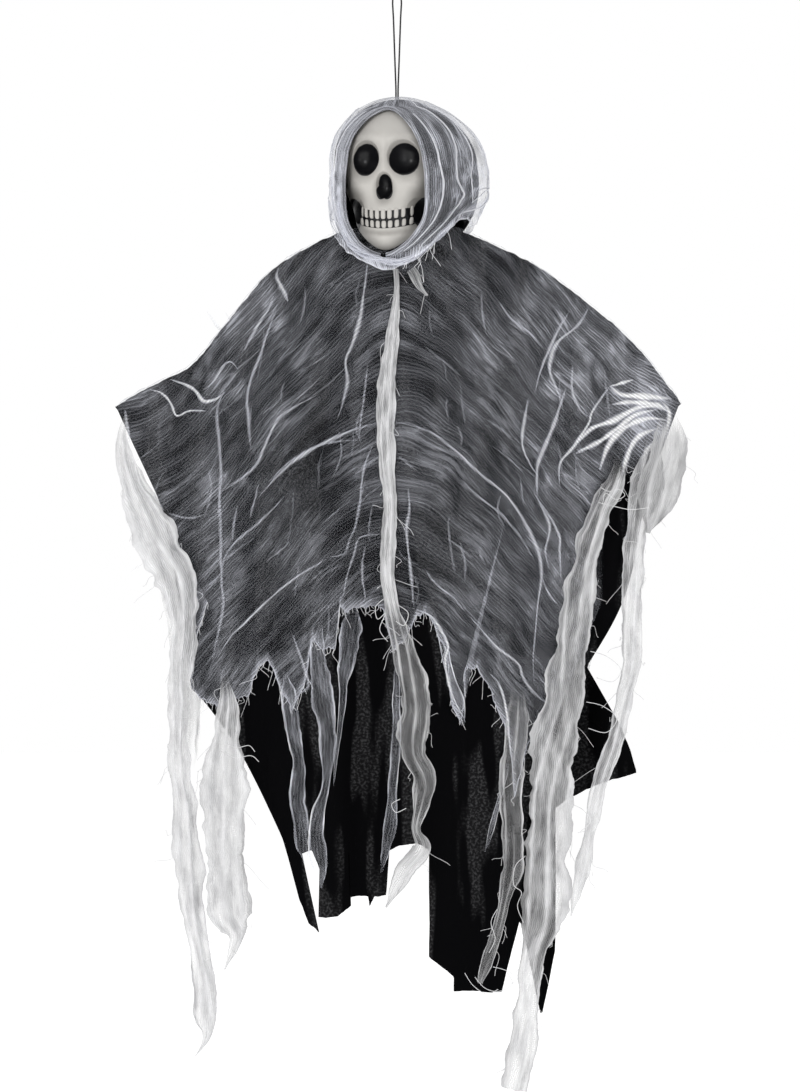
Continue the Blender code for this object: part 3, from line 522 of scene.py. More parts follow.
def tube_patch(points, radius, sides, flat_width=0.01, masks=None, finish=0, twist=0.0, lobes=0, lobe=0.0):
    """A round section carried along the points on frames that turn as little as they can.

    radius is one value or one per point. Lobes press grooves that wind round the tube.
    """
    points = np.asarray(points, float)
    along = np.gradient(points, axis=0)
    along /= np.linalg.norm(along, axis=1)[:, None]
    start = np.cross(along[0], (0, 1, 0) if abs(along[0][1]) < 0.9 else (1, 0, 0))
    sides_at = [start / np.linalg.norm(start)]
    for direction in along[1:]:
        carried = sides_at[-1] - direction * np.dot(sides_at[-1], direction)
        sides_at.append(carried / np.linalg.norm(carried))
    side = np.array(sides_at)
    up = np.cross(along, side)
    angle = np.linspace(0, 2 * np.pi, sides, endpoint=False)
    far = np.append(0, np.cumsum(np.linalg.norm(np.diff(points, axis=0), axis=1)))
    size = np.broadcast_to(radius, len(points))[:, None] * (
        1 + lobe * np.cos(lobes * (angle[None] - twist * far[:, None]))
    )
    ring = side[:, None] * np.cos(angle)[None, :, None] + up[:, None] * np.sin(angle)[None, :, None]
    body = points[:, None] + ring * size[..., None]
    flat = np.stack(np.broadcast_arrays(angle[None] / (2 * np.pi) * flat_width, far[:, None]), axis=-1)
    patch = grid_patch(body, flat, None, wrap=True, finish=finish)
    ends = np.array([points[0], points[-1]])
    count = len(patch.points)
    last = count - sides + np.arange(sides)
    first = np.arange(sides)
    caps = [np.stack([np.full(sides, count), first, np.roll(first, -1), np.roll(first, -1)], axis=-1),
            np.stack([np.full(sides, count + 1), np.roll(last, -1), last, last], axis=-1)]
    masks = {
        name: np.append(np.repeat(value, sides), [value[0], value[-1]])
        for name, value in (masks or {}).items()
    }
    flats = np.vstack([patch.flat, [[0, 0], [0, far[-1]]]])
    return Patch(np.vstack([patch.points, ends]), np.vstack([patch.faces, *caps]), flats, masks, finish)


def even_masks(count, fold, amount=1.0):
    """The same share of fold and of closeness all along a tube."""
    return {"fold": np.full(count, fold), "amount": np.full(count, amount)}


def new_piece(name, patches, materials, node=(), weld=0.0):
    """One mesh object from patches, riding on the body and standing for its CAD nodes."""
    offsets = np.cumsum([0] + [len(patch.points) for patch in patches[:-1]])
    points = np.vstack([patch.points for patch in patches])
    faces = np.vstack([patch.faces + offset for patch, offset in zip(patches, offsets)])
    flat = np.vstack([patch.flat for patch in patches])
    finish = np.concatenate([np.full(len(patch.faces), patch.finish) for patch in patches])
    used, faces = np.unique(faces, return_inverse=True)
    faces = faces.reshape(-1, 4)
    sizes = np.where(faces[:, 2] == faces[:, 3], 3, 4)
    corners = faces.ravel()[(np.arange(4)[None] < sizes[:, None]).ravel()]
    mesh = bpy.data.meshes.new(name)
    mesh.vertices.add(len(used))
    mesh.vertices.foreach_set("co", points[used].astype(np.float32).ravel())
    mesh.loops.add(len(corners))
    mesh.loops.foreach_set("vertex_index", corners.astype(np.int32))
    mesh.polygons.add(len(faces))
    mesh.polygons.foreach_set("loop_start", np.append(0, np.cumsum(sizes)[:-1]).astype(np.int32))
    mesh.polygons.foreach_set("material_index", finish.astype(np.int32))
    mesh.update(calc_edges=True)
    layer = mesh.uv_layers.new(name="flat")
    layer.data.foreach_set("uv", flat[used][corners].astype(np.float32).ravel())
    for mask in sorted({key for patch in patches for key in patch.masks}):
        values = [patch.masks.get(mask, np.zeros(len(patch.points))) for patch in patches]
        held = mesh.attributes.new(mask, "FLOAT", "POINT")
        held.data.foreach_set("value", np.concatenate(values)[used].astype(np.float32))
    mesh.validate()
    if weld:
        edit = bmesh.new()
        edit.from_mesh(mesh)
        bmesh.ops.remove_doubles(edit, verts=edit.verts, dist=weld)
        edit.to_mesh(mesh)
        edit.free()
    mesh.shade_smooth()
    for material in materials:
        mesh.materials.append(material)
    piece = bpy.data.objects.new(name, mesh)
    bpy.context.scene.collection.objects.link(piece)
    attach(piece, "root")
    if node:
        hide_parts(*([node] if isinstance(node, str) else node))
    return piece


# Shader helpers
def fill(tree, made, inputs):
    """Each input of a node set to a value, or linked from a socket."""
    for key, value in inputs.items():
        if isinstance(value, bpy.types.NodeSocket):
            tree.links.new(value, made.inputs[key])
        else:
            made.inputs[key].default_value = value
    return made


def add(tree, kind, inputs=None, **settings):
    """A shader node with its settings and its inputs."""
    made = tree.nodes.new("ShaderNode" + kind)
    for name, value in settings.items():
        setattr(made, name, value)
    return fill(tree, made, inputs or {})


def maths(tree, operation, *values, clamp=False):
    """One step of arithmetic on values or sockets."""
    return add(tree, "Math", dict(enumerate(values)), operation=operation, use_clamp=clamp).outputs[0]


def plus(tree, base, value, share):
    """The base and a share of a value."""
    return maths(tree, "ADD", base, maths(tree, "MULTIPLY", value, share))


def toned(colour, share):
    """A colour made lighter or darker."""
    return [c * share for c in colour]


def scaled(tree, vector, factors):
    """A vector with each of its values multiplied by its own factor."""
    inputs = {0: vector, 1: factors}
    return add(tree, "VectorMath", inputs, operation="MULTIPLY").outputs[0]


def noise(tree, vector, scale, detail=2.0):
    """Soft noise from 0 to 1 at a scale per metre."""
    return add(tree, "TexNoise", {"Vector": vector, "Scale": scale, "Detail": detail}).outputs[0]


def streaks(tree, flat, scales, detail=2.0):
    """Noise drawn out on the flat map, by a scale for each of its directions."""
    return noise(tree, scaled(tree, flat, (*scales, 1)), 1.0, detail)


def ramp(tree, value, low, high, to_low=0.0, to_high=1.0):
    """A smooth step of a value between two limits."""
    inputs = {"Value": value, "From Min": low, "From Max": high, "To Min": to_low, "To Max": to_high}
    return add(tree, "MapRange", inputs, interpolation_type="SMOOTHSTEP").outputs["Result"]


def blend(tree, share, first, second):
    """A colour between two others."""
    made = add(tree, "Mix", {"Factor": share}, data_type="RGBA")
    for socket, value in zip(made.inputs[6:8], (first, second)):
        if isinstance(value, bpy.types.NodeSocket):
            tree.links.new(value, socket)
        else:
            socket.default_value = (*value[:3], 1)
    return made.outputs[2]


def group_of(name, inputs, outputs):
    """An empty node group with named sockets, its inputs' sockets and its output node."""
    group = bpy.data.node_groups.new(name, "ShaderNodeTree")
    for socket_name, kind, default in inputs:
        socket = group.interface.new_socket(socket_name, in_out="INPUT", socket_type="NodeSocket" + kind)
        if default is not None:
            socket.default_value = default
    for socket_name in outputs:
        group.interface.new_socket(socket_name, in_out="OUTPUT", socket_type="NodeSocketFloat")
    return group, group.nodes.new("NodeGroupInput").outputs, group.nodes.new("NodeGroupOutput").inputs


def use_group(tree, group, inputs):
    """The outputs of a node group with its inputs set."""
    made = tree.nodes.new("ShaderNodeGroup")
    made.node_tree = group
    return fill(tree, made, inputs).outputs


def weave_group():
    """Loose threads both ways on the flat map: how much of each spot is thread, and its height.

    Each set is a triangle wave across its threads, shifted by noise so that they crinkle, and cut
    at a width that noise drawn out along them makes thicker and thinner.
    """
    if "weave" in bpy.data.node_groups:
        return bpy.data.node_groups["weave"]
    group, given, out = group_of(
        "weave",
        [("Flat", "Vector", None), ("Pitch", "Float", 0.003), ("Thread", "Float", 0.3),
         ("Crinkle", "Float", 1.0), ("Uneven", "Float", 1.0)],
        ["Threads", "Height"],
    )
    parts = add(group, "SeparateXYZ", {0: given["Flat"]})
    bend = maths(group, "SUBTRACT", noise(group, given["Flat"], 120.0), 0.5)
    shift = maths(group, "MULTIPLY", bend, given["Crinkle"])
    sets = []
    for axis, (scales, share) in enumerate((((240, 45), 1.0), ((60, 240), 0.38))):
        uneven = maths(group, "SUBTRACT", streaks(group, given["Flat"], scales), 0.5)
        place = maths(group, "ADD", maths(group, "DIVIDE", parts.outputs[axis], given["Pitch"]), shift)
        wave = maths(group, "MULTIPLY", maths(group, "PINGPONG", place, 0.5), 2.0)
        change = maths(group, "MULTIPLY", uneven, given["Uneven"])
        width = maths(group, "MULTIPLY", maths(group, "ADD", given["Thread"], change), share)
        line = maths(group, "MULTIPLY", maths(group, "SUBTRACT", width, wave), 3.0, clamp=True)
        sets.append(line)
    crossing = maths(group, "MULTIPLY", sets[1], 0.7)
    group.links.new(maths(group, "MAXIMUM", sets[0], crossing), out["Threads"])
    group.links.new(maths(group, "ADD", sets[0], sets[1]), out["Height"])
    return group


def woven(tree, flat, pitch, thread, crinkle, uneven):
    """The weave on a flat map at a pitch in metres, with its threads' share and unevenness."""
    inputs = {"Flat": flat, "Pitch": pitch, "Thread": thread, "Crinkle": crinkle, "Uneven": uneven}
    return use_group(tree, weave_group(), inputs)


def pulls_group():
    """Bunched and pulled threads along the flat map's second direction.

    Two noises drawn out along it: the wide one gives soft bands, and the crest lines of the other
    give thin bright pulls.
    """
    if "pulls" in bpy.data.node_groups:
        return bpy.data.node_groups["pulls"]
    group, given, out = group_of("pulls", [("Flat", "Vector", None)], ["Bands", "Pulls"])
    drift = add(group, "TexNoise", {"Vector": given["Flat"], "Scale": 22.0, "Detail": 2.0})
    push = scaled(group, drift.outputs[1], (0.011, 0.011, 0))
    flat = add(group, "VectorMath", {0: given["Flat"], 1: push}, operation="ADD").outputs[0]
    group.links.new(ramp(group, streaks(group, flat, (85, 20), 3.0), 0.34, 0.70), out["Bands"])
    crests = []
    for scales, power in (((46, 8), 26.0), ((120, 16), 16.0)):
        value = streaks(group, flat, scales, 1.0)
        off = maths(group, "ABSOLUTE", maths(group, "MULTIPLY", maths(group, "SUBTRACT", value, 0.5), 2.0))
        crests.append(maths(group, "POWER", maths(group, "SUBTRACT", 1.0, off), power))
    fade = ramp(group, noise(group, flat, 26.0), 0.42, 0.66)
    pulled = maths(group, "MULTIPLY", maths(group, "MAXIMUM", crests[0], crests[1]), fade)
    group.links.new(pulled, out["Pulls"])
    return group


def surface(name):
    """A material with its Principled shader, ready for its sockets."""
    material = bpy.data.materials.new(name)
    material.use_nodes = True
    tree = material.node_tree
    return material, tree, tree.nodes["Principled BSDF"]


def flat_map(tree):
    """The piece's flat map in metres of cloth."""
    return add(tree, "UVMap", uv_map="flat").outputs[0]


def mask(tree, name):
    """A mask that the mesh carries at its points."""
    return add(tree, "Attribute", attribute_name=name).outputs["Fac"]


def bump(tree, height, strength, distance):
    """A normal raised by a height."""
    inputs = {"Height": height, "Strength": strength, "Distance": distance}
    return add(tree, "Bump", inputs).outputs[0]


def matte(shader, roughness, gloss):
    """A surface's roughness and how much it mirrors."""
    shader.inputs["Roughness"].default_value = roughness
    shader.inputs["Specular IOR Level"].default_value = gloss


def gauze_material(name, settings, cover, pitch_share=1.0):
    """Open gauze: threads with gaps between them, closed where the cloth is doubled in a fold.

    The share of thread rises with the slant of view, as real threads close up when seen edgewise.
    """
    material, tree, shader = surface(name)
    flat = flat_map(tree)
    pitch = settings.thread_pitch * pitch_share
    weave = woven(tree, flat, pitch, thread=0.42, crinkle=0.9, uneven=1.2)
    pulls = use_group(tree, pulls_group(), {"Flat": flat})
    fold = mask(tree, "fold")
    amount = mask(tree, "amount")
    slant = add(tree, "LayerWeight", {"Blend": 0.5}).outputs["Facing"]
    slant = plus(tree, 1.0, maths(tree, "POWER", slant, 3.0), 2.0)
    strength = plus(tree, 0.50, pulls["Bands"], 0.9)
    threads = plus(tree, 0.52, weave["Threads"], 0.90)
    open_cover = maths(tree, "MULTIPLY", maths(tree, "MULTIPLY", threads, strength), cover)
    open_cover = plus(tree, open_cover, pulls["Pulls"], 0.20)
    open_cover = maths(tree, "MULTIPLY", maths(tree, "MULTIPLY", open_cover, amount), slant)
    ragged = plus(tree, 0.65, weave["Threads"], 0.5)
    folded = maths(tree, "MULTIPLY", maths(tree, "MULTIPLY", fold, ragged), FOLD_COVER)
    both = maths(tree, "ADD", open_cover, folded, clamp=True)
    tree.links.new(both, shader.inputs["Alpha"])
    cool = [c * k for c, k in zip(settings.white, GAUZE_TINT)]
    tone = blend(tree, noise(tree, flat, 60.0, 4.0), toned(cool, 0.86), cool)
    tone = blend(tree, ramp(tree, fold, 0.45, 1.0), tone, toned(settings.white, 1.14))
    tree.links.new(tone, shader.inputs["Base Color"])
    tree.links.new(bump(tree, weave["Height"], strength=0.2, distance=0.0004), shader.inputs["Normal"])
    matte(shader, roughness=0.95, gloss=0.08)
    return material


def strip_material(name, settings):
    """Gauze bunched lengthwise: nearly closed along its edges and folds, see-through between."""
    material, tree, shader = surface(name)
    flat = flat_map(tree)
    weave = woven(tree, flat, settings.thread_pitch * 0.55, thread=0.7, crinkle=2.2, uneven=1.3)
    pulls = use_group(tree, pulls_group(), {"Flat": flat})
    amount = mask(tree, "amount")
    clouds = ramp(tree, streaks(tree, flat, (150, 34), 4.0), 0.32, 0.70, 0.62, 1.22)
    threads = plus(tree, 0.66, weave["Threads"], 0.40)
    body = maths(tree, "MULTIPLY", maths(tree, "MULTIPLY", amount, threads), clouds)
    body = plus(tree, body, pulls["Pulls"], 0.12)
    both = maths(tree, "ADD", body, mask(tree, "fold"), clamp=True)
    tree.links.new(both, shader.inputs["Alpha"])
    mottle = ramp(tree, streaks(tree, flat, (120, 45), 5.0), 0.3, 0.7)
    tone = blend(tree, mottle, toned(settings.white, 0.78), toned(settings.white, 0.97))
    # painted shade: the mesh's shade mask darkens the threads' colour towards grey
    tone = blend(tree, mask(tree, "shade"), tone, toned(settings.white, 0.50))
    tree.links.new(tone, shader.inputs["Base Color"])
    height = plus(tree, weave["Height"], mottle, 2.0)
    tree.links.new(bump(tree, height, strength=0.5, distance=0.0006), shader.inputs["Normal"])
    matte(shader, roughness=0.95, gloss=0.08)
    return material


def cloth_material(name, settings):
    """Thin matte black cloth: plain weave, deep black bands and bands that show dusty speckles."""
    material, tree, shader = surface(name)
    flat = flat_map(tree)
    weave = woven(tree, flat, BLACK_PITCH, thread=0.8, crinkle=0.3, uneven=0.3)
    bands = ramp(tree, streaks(tree, flat, (34, 5)), 0.50, 0.57)
    speckle = ramp(tree, noise(tree, flat, 420.0, 2.0), 0.42, 0.74)
    dusty = maths(tree, "MULTIPLY", bands, maths(tree, "ADD", 0.15, speckle))
    light = [c * 4 + 0.032 for c in settings.black]
    tree.links.new(blend(tree, dusty, settings.black, light), shader.inputs["Base Color"])
    tree.links.new(bump(tree, weave["Height"], strength=0.4, distance=0.0002), shader.inputs["Normal"])
    matte(shader, roughness=0.94, gloss=0.01)
    return material


def bone_material(settings):
    """Satin moulded plastic: ivory with painted shade in its dips, at its sides and under its jaw, and
    airbrushed black in its hollows.
    """
    material, tree, shader = surface("airbrushed ivory plastic")
    place = add(tree, "TexCoord").outputs["Object"]
    mottle = noise(tree, place, 60.0, 5.0)
    uneven = maths(tree, "MULTIPLY", maths(tree, "SUBTRACT", noise(tree, place, 240.0, 3.0), 0.5), 0.22)
    paint = ramp(tree, maths(tree, "ADD", mask(tree, "paint"), uneven), 0.36, 0.62)
    # painted shade: the mesh's mask, made uneven by noise, darkens the ivory towards grey
    stain = maths(tree, "ADD", mask(tree, "stain"), maths(tree, "MULTIPLY", uneven, 0.5), clamp=True)
    bone = blend(tree, mottle, toned(settings.bone, 0.93), settings.bone)
    shade = [c * k for c, k in zip(settings.bone, (0.16, 0.15, 0.14))]
    bone = blend(tree, stain, bone, shade)
    worn = blend(tree, ramp(tree, mottle, 0.5, 0.8), settings.airbrush, toned(settings.airbrush, 2.2))
    tree.links.new(blend(tree, paint, bone, worn), shader.inputs["Base Color"])
    tree.links.new(ramp(tree, paint, 0.0, 1.0, 0.42, 0.34), shader.inputs["Roughness"])
    grain = noise(tree, place, 900.0, 3.0)
    tree.links.new(bump(tree, grain, strength=0.10, distance=0.0003), shader.inputs["Normal"])
    shader.inputs["Specular IOR Level"].default_value = 0.3
    return material


def cord_material():
    """Black twisted string, its fibres along the strands."""
    material, tree, shader = surface("black string")
    flat = flat_map(tree)
    fibre = noise(tree, scaled(tree, flat, (6, 1, 1)), 900.0, 3.0)
    tone = blend(tree, fibre, (0.0015, 0.0015, 0.0015), (0.012, 0.012, 0.012))
    tree.links.new(tone, shader.inputs["Base Color"])
    tree.links.new(bump(tree, fibre, strength=0.6, distance=0.0002), shader.inputs["Normal"])
    shader.inputs["Roughness"].default_value = 0.8
    return material


def plain_material(name, colour, roughness, scale, metallic=0.0):
    """A hidden piece's finish: colour, gloss and surface a little uneven."""
    material, tree, shader = surface(name)
    value = noise(tree, add(tree, "TexCoord").outputs["Object"], scale, 5.0)
    tree.links.new(blend(tree, value, toned(colour, 0.75), colour), shader.inputs["Base Color"])
    rougher = ramp(tree, value, 0.2, 0.8, roughness - 0.08, roughness + 0.08)
    tree.links.new(rougher, shader.inputs["Roughness"])
    tree.links.new(bump(tree, value, strength=0.3, distance=0.0003), shader.inputs["Normal"])
    shader.inputs["Metallic"].default_value = metallic
    return material


# The cape
ARM_STATIONS = smooth_path(ARM_LINE, 241) * MM + (0, NECK_POINT.z)


def arm_at(share):
    """Points (x, z) and upward normals of the arm wire's line at shares of its length."""
    return along_line(ARM_STATIONS, share), along_line(across_line(ARM_STATIONS), share)


def below_arm(x, z):
    """How far places are below the arm wire, and 0 above it."""
    return np.maximum(np.interp(x, ARM_STATIONS[:, 0], ARM_STATIONS[:, 1]) - z, 0.0)


def collar(x, lift):
    """How far the cloth stands out round the neck: a flat-topped bell of x."""
    away = (x - NECK_POINT.x) / (0.7 * NECK_OPENING)
    return (NECK_RADIUS + COLLAR_ROOM + lift / 2) * np.exp(-(away**4))


def cape_depth(x, z, radius, lift, back):
    """Depth from the wire's plane: round the wire, out to the chest's depth, with hanging folds."""
    drop = below_arm(x, z)
    span = x / ARM_SPAN
    body = TIP_DEPTH + (CHEST_DEPTH - TIP_DEPTH) * np.exp(-((span / CHEST_SHARE) ** 2))
    grown = 1 - np.exp(-drop / (FOLD_GROWTH * FALL_LENGTH))
    lean = drop * np.copysign(FOLD_LEAN, x) * np.abs(span)
    wide = np.sin(WIDE_FOLDS * span + lean + (2.1 if back else 0.6))
    narrow = np.sin(NARROW_FOLDS * span - 2 * lean + (0.4 if back else 1.9))
    folds = FOLD_SHARE * body * grown * (wide + 0.5 * narrow)
    stand_off = lift * (1 - np.exp(-drop / LIFT_FADE)) + collar(x, lift) * np.exp(-drop / COLLAR_FADE)
    return radius + (body - radius) * (1 - np.exp(-drop / FALL_LENGTH)) + folds + stand_off


def flow_map(x, z):
    """The gauze's flat map: threads fall outwards from the middle, less so towards the cuffs.

    The first value is constant along the falling threads, the second along the crossing ones.
    """
    side = np.sqrt(x**2 + 0.03**2)
    bent = 0.003 * np.sin(38 * x + 24 * z) + 0.0015 * np.sin(91 * x - 57 * z)
    falling = 0.85 * z + 0.38 * side + 0.055 * (1 - np.cos(math.pi * side / 0.25)) + bent
    return np.stack([falling, 0.9 * side - 0.45 * z + bent], axis=-1)


def patches_of(x, z, spots):
    """Soft round patches on the front: the sum of bells at (pixel x, pixel y, width, height, size)."""
    total = np.zeros(np.shape(x))
    for pixel_x, pixel_y, wide, high, size in spots:
        middle = at_photo([(pixel_x, pixel_y)])[0]
        away = ((x - middle[0]) / (wide * PIXEL)) ** 2 + ((z - middle[1]) / (high * PIXEL)) ** 2
        total += size * np.exp(-away)
    return total


def wrinkles(x, z, seed):
    """Outward creases of the gauze in metres: crests of noise drawn out along the flow."""
    falling, crossing = np.moveaxis(flow_map(x, z), -1, 0)
    grown = 0.2 + 0.8 * smooth_step(0.0, 0.06, below_arm(x, z))
    wide = (1 - np.abs(rough(falling * 30, crossing * 5, seed, 2))) ** 4
    fine = (1 - np.abs(rough(falling * 95, crossing * 12, seed + 9, 2))) ** 3
    hanging = (1 - np.abs(rough(x * 26 + 9, z * 4, seed + 17, 2))) ** 4
    return (WIDE_WRINKLE * wide + FINE_WRINKLE * fine + HANGING_WRINKLE * hanging) * grown


def gauze_depth(x, z, back=False):
    """How far the gauze stands in front of, or behind, the wire's plane."""
    return cape_depth(x, z, GAUZE_RADIUS, GAUZE_GAP, back) + wrinkles(x, z, 40 if back else 11)


def cape_panel(hems, back, columns, rows, depth, radius, lift, ragged, seed):
    """One side of the cape as points (rows, columns, 3), with which faces are cloth.

    Rows go round the wire's top, straight down to the first hem and on to the second one. The hem
    is the drawn outline with noise on it.
    """
    share = np.linspace(0, 1, columns)
    top, up = arm_at(share)
    feet = [along_line(np.array(hem, float) * MM + (0, NECK_POINT.z), share) for hem in hems]
    feet[-1][:, 1] += ragged * rough(share * 90, share * 0, seed, 3)
    feet[-1][:, 0] += 0.4 * ragged * rough(share * 60, share * 0, seed + 5, 3)
    cap = np.linspace(math.pi / 2, 0, 5)[:-1]
    puffed = radius + 0.0020 * np.abs(rough(share * 46, share * 0, seed + 3, 3))
    cap_xz = top[None] + (up * puffed[:, None])[None] * np.sin(cap)[:, None, None]
    cap_y = (radius + collar(top[:, 0], lift))[None] * np.cos(cap)[:, None]
    split = rows if len(hems) == 1 else round(rows * 0.62)
    down = np.linspace(0, 1, split) ** ROW_BIAS
    runs = [top[None] + (feet[0] - top)[None] * down[:, None, None]]
    if len(hems) > 1:
        more = np.linspace(0, 1, rows - split + 1)[1:]
        runs.append(feet[0][None] + (feet[1] - feet[0])[None] * more[:, None, None])
    body = np.vstack(runs)
    xz = np.vstack([cap_xz, body])
    far = np.vstack([cap_y, depth(body[..., 0], body[..., 1])])
    points = np.stack([xz[..., 0], NECK_POINT.y + (far if back else -far), xz[..., 1]], axis=-1)
    keep = np.ones((len(points) - 1, columns - 1), bool)
    middle = (top[1:, 0] + top[:-1, 0]) / 2
    keep[: len(cap), np.abs(middle - NECK_POINT.x) < NECK_OPENING / 2] = False
    return points, keep


def make_robe(settings):
    """The black cloth's front and back panels."""
    cloth = cloth_material("thin black cloth", settings)
    for back, hems, node in (
        (False, (GAUZE_HEM_FRONT, ROBE_HEM_FRONT), "black_robe_front"),
        (True, (GAUZE_HEM_BACK, ROBE_HEM_BACK), "black_robe_back"),
    ):
        def depth(x, z, back=back):
            """The cape's depth with narrow hanging creases that fade out towards the arm wire."""
            creased = (1 - np.abs(rough(x * 22, z * 5, 71, 2))) ** 3
            grown = smooth_step(0, 0.05, below_arm(x, z))
            return cape_depth(x, z, ROBE_RADIUS, 0.0, back) + ROBE_CREASE * creased * grown

        points, keep = cape_panel(
            hems, back, columns=300, rows=240, depth=depth,
            radius=ROBE_RADIUS, lift=0.0, ragged=0.0012, seed=31,
        )
        if not back:
            right = smooth_step(0.86, 1.0, np.linspace(0, 1, points.shape[1]))
            away = (points[..., 2] - ROBE_SPREAD_LEVEL) / 0.075
            points[..., 0] += ROBE_SPREAD * right * np.exp(-(away**2))
        patch = grid_patch(points, points[..., [0, 2]], keep=keep, flip=back)
        piece = new_piece("robe_" + ("back" if back else "front"), [patch], [cloth], node)


def crease_patch(pixels, width, strength, back=False):
    """A pinched fold of doubled gauze: a narrow ridge along a line of the cape, soft at its ends."""
    line = smooth_path(at_photo(pixels), 6 * len(pixels))
    across = across_line(line)
    side = np.linspace(-1, 1, 7)
    far = np.linspace(0, 1, len(line))
    taper = np.sin(np.linspace(0.05, math.pi - 0.05, len(line))) ** 0.5
    seed = int(abs(pixels[0][0] * 7 + pixels[0][1]))  # its own noise for each line
    half = width * PIXEL / 2 * taper * (1 + 0.5 * rough(far * 9, far * 0, seed, 2))
    sway = 0.0005 * rough(far * 7, far * 0 + 3, seed, 3)
    xz = line[:, None] + across[:, None] * (side[None] * half[:, None] + sway[:, None])[..., None]
    bell = np.cos(side * math.pi / 2)[None]
    ridge = (1.1 * half[:, None] + 0.0004) * bell
    far_out = gauze_depth(xz[..., 0], xz[..., 1], back) + 0.0006 + ridge
    y = NECK_POINT.y + (far_out if back else -far_out)
    fold = strength * bell**1.4 * taper[:, None] ** 0.6 * np.ones(len(side))
    points = np.stack([xz[..., 0], y, xz[..., 1]], axis=-1)
    flip = bool(line[-1, 1] > line[0, 1])
    masks = {"fold": fold, "amount": np.zeros(fold.shape)}
    return grid_patch(points, flow_map(xz[..., 0], xz[..., 1]), masks, flip=flip == back)


def small_creases(count, seed):
    """Short faint creases scattered over the cape, along the falling threads or straight down.

    Places and sizes are in pixels, as in the drawn creases.
    """
    random = np.random.default_rng(seed)
    made = []
    while len(made) < count:
        x, y = random.uniform(135, 660), random.uniform(270, 640)
        place = at_photo([(x, y)])[0]
        foot = 660 - 0.9 * abs(x - LINE_PIXEL) if x > LINE_PIXEL else 690 - 0.5 * abs(x - LINE_PIXEL)
        if below_arm(*place) < 0.018 or y > foot:
            continue
        reach = random.uniform(22, 60)
        away = math.copysign(1, x - LINE_PIXEL)
        slope = (0.75, 0.62) if random.random() < 0.55 else (0.12, 1.0)
        t = np.linspace(0, 1, 5)
        bow = random.normal(0, 3.5)
        line = np.column_stack([
            x + away * slope[0] * reach * t + bow * np.sin(math.pi * t), y + slope[1] * reach * t
        ])
        if below_arm(*at_photo(line[-1:])[0]) > 0.012 and line[-1, 1] < foot + 20:
            made.append((random.uniform(2.0, 4.0), random.uniform(0.14, 0.42), line))
    return made


def tail_patch(stations, seed):
    """A torn tail of the hem hanging in front of the black cloth, whiter along its rolled edges.

    Stations are (pixel x, pixel y, width in pixels) from the top down.
    """
    stations = np.array(stations, float)
    drawn = np.column_stack([at_photo(stations[:, :2]), stations[:, 2] * PIXEL])
    length = np.linalg.norm(np.diff(drawn[:, :2], axis=0), axis=1).sum()
    line = smooth_path(drawn, max(12, round(length / 0.0018)))
    far = np.linspace(0, length, len(line))
    line[:, 2] *= 1 + 0.38 * rough(far * 26, far * 0, seed + 11, 2)
    line[:, 0] += 0.0022 * rough(far * 20, far * 0, seed + 13, 2)
    ends = smooth_step(0, 0.022, far) * smooth_step(0, 0.016, length - far)
    line[:, 2] *= 0.3 + 0.7 * ends
    side, far_grid = np.meshgrid(np.linspace(-1, 1, 13), far)
    across = across_line(line[:, :2])
    reach = side * (1 + 0.22 * rough(far_grid * 70, np.sign(side) * 3 + 5, seed, 3) * np.abs(side))
    xz = line[:, None, :2] - across[:, None] * (reach * line[:, None, 2] / 2)[..., None]
    curl = 0.14 * line[:, None, 2] * np.sin(side * 3 + 4 * rough(far_grid * 16, side * 0, seed + 3, 2))
    hung = cape_depth(xz[..., 0], xz[..., 1], GAUZE_RADIUS, GAUZE_GAP, False)
    y = NECK_POINT.y - hung - TAIL_STAND_OFF - curl
    uneven = 0.7 + 0.5 * rough(far_grid * 30, np.sign(side) * 2 + 4, seed + 7, 2)
    fold = np.clip(smooth_step(0.66, 0.95, np.abs(side)) * uneven, 0, 1)
    points = np.stack([xz[..., 0], y, xz[..., 1]], axis=-1)
    flat = np.stack([side * line[:, None, 2] / 2, far_grid], axis=-1)
    masks = {"fold": fold * ends[:, None] ** 0.5, "amount": np.full(fold.shape, TAIL_BODY)}
    return grid_patch(points, flat, masks)


def thread_patches(starts, ways, seed, length=(0.003, 0.012), radius=0.00020):
    """Loose thread ends: thin curling tubes from the given places towards the given ways."""
    random = np.random.default_rng(seed)
    made = []
    for start, way in zip(starts, ways):
        reach = random.uniform(*length)
        t = np.linspace(0, 1, 9)[:, None]
        bend = random.normal(0, 0.6, 3) * (1, 0.35, 1)
        curl = random.normal(0, 0.45, 3) * (1, 0.35, 1)
        sag = np.array([0, 0, -0.7])
        path = start + reach * (way * t + (bend + sag) * t**2 + curl * np.sin(5 * t) * t)
        made.append(tube_patch(path, radius, sides=5, flat_width=0.001, masks=even_masks(9, 0.9)))
    return made


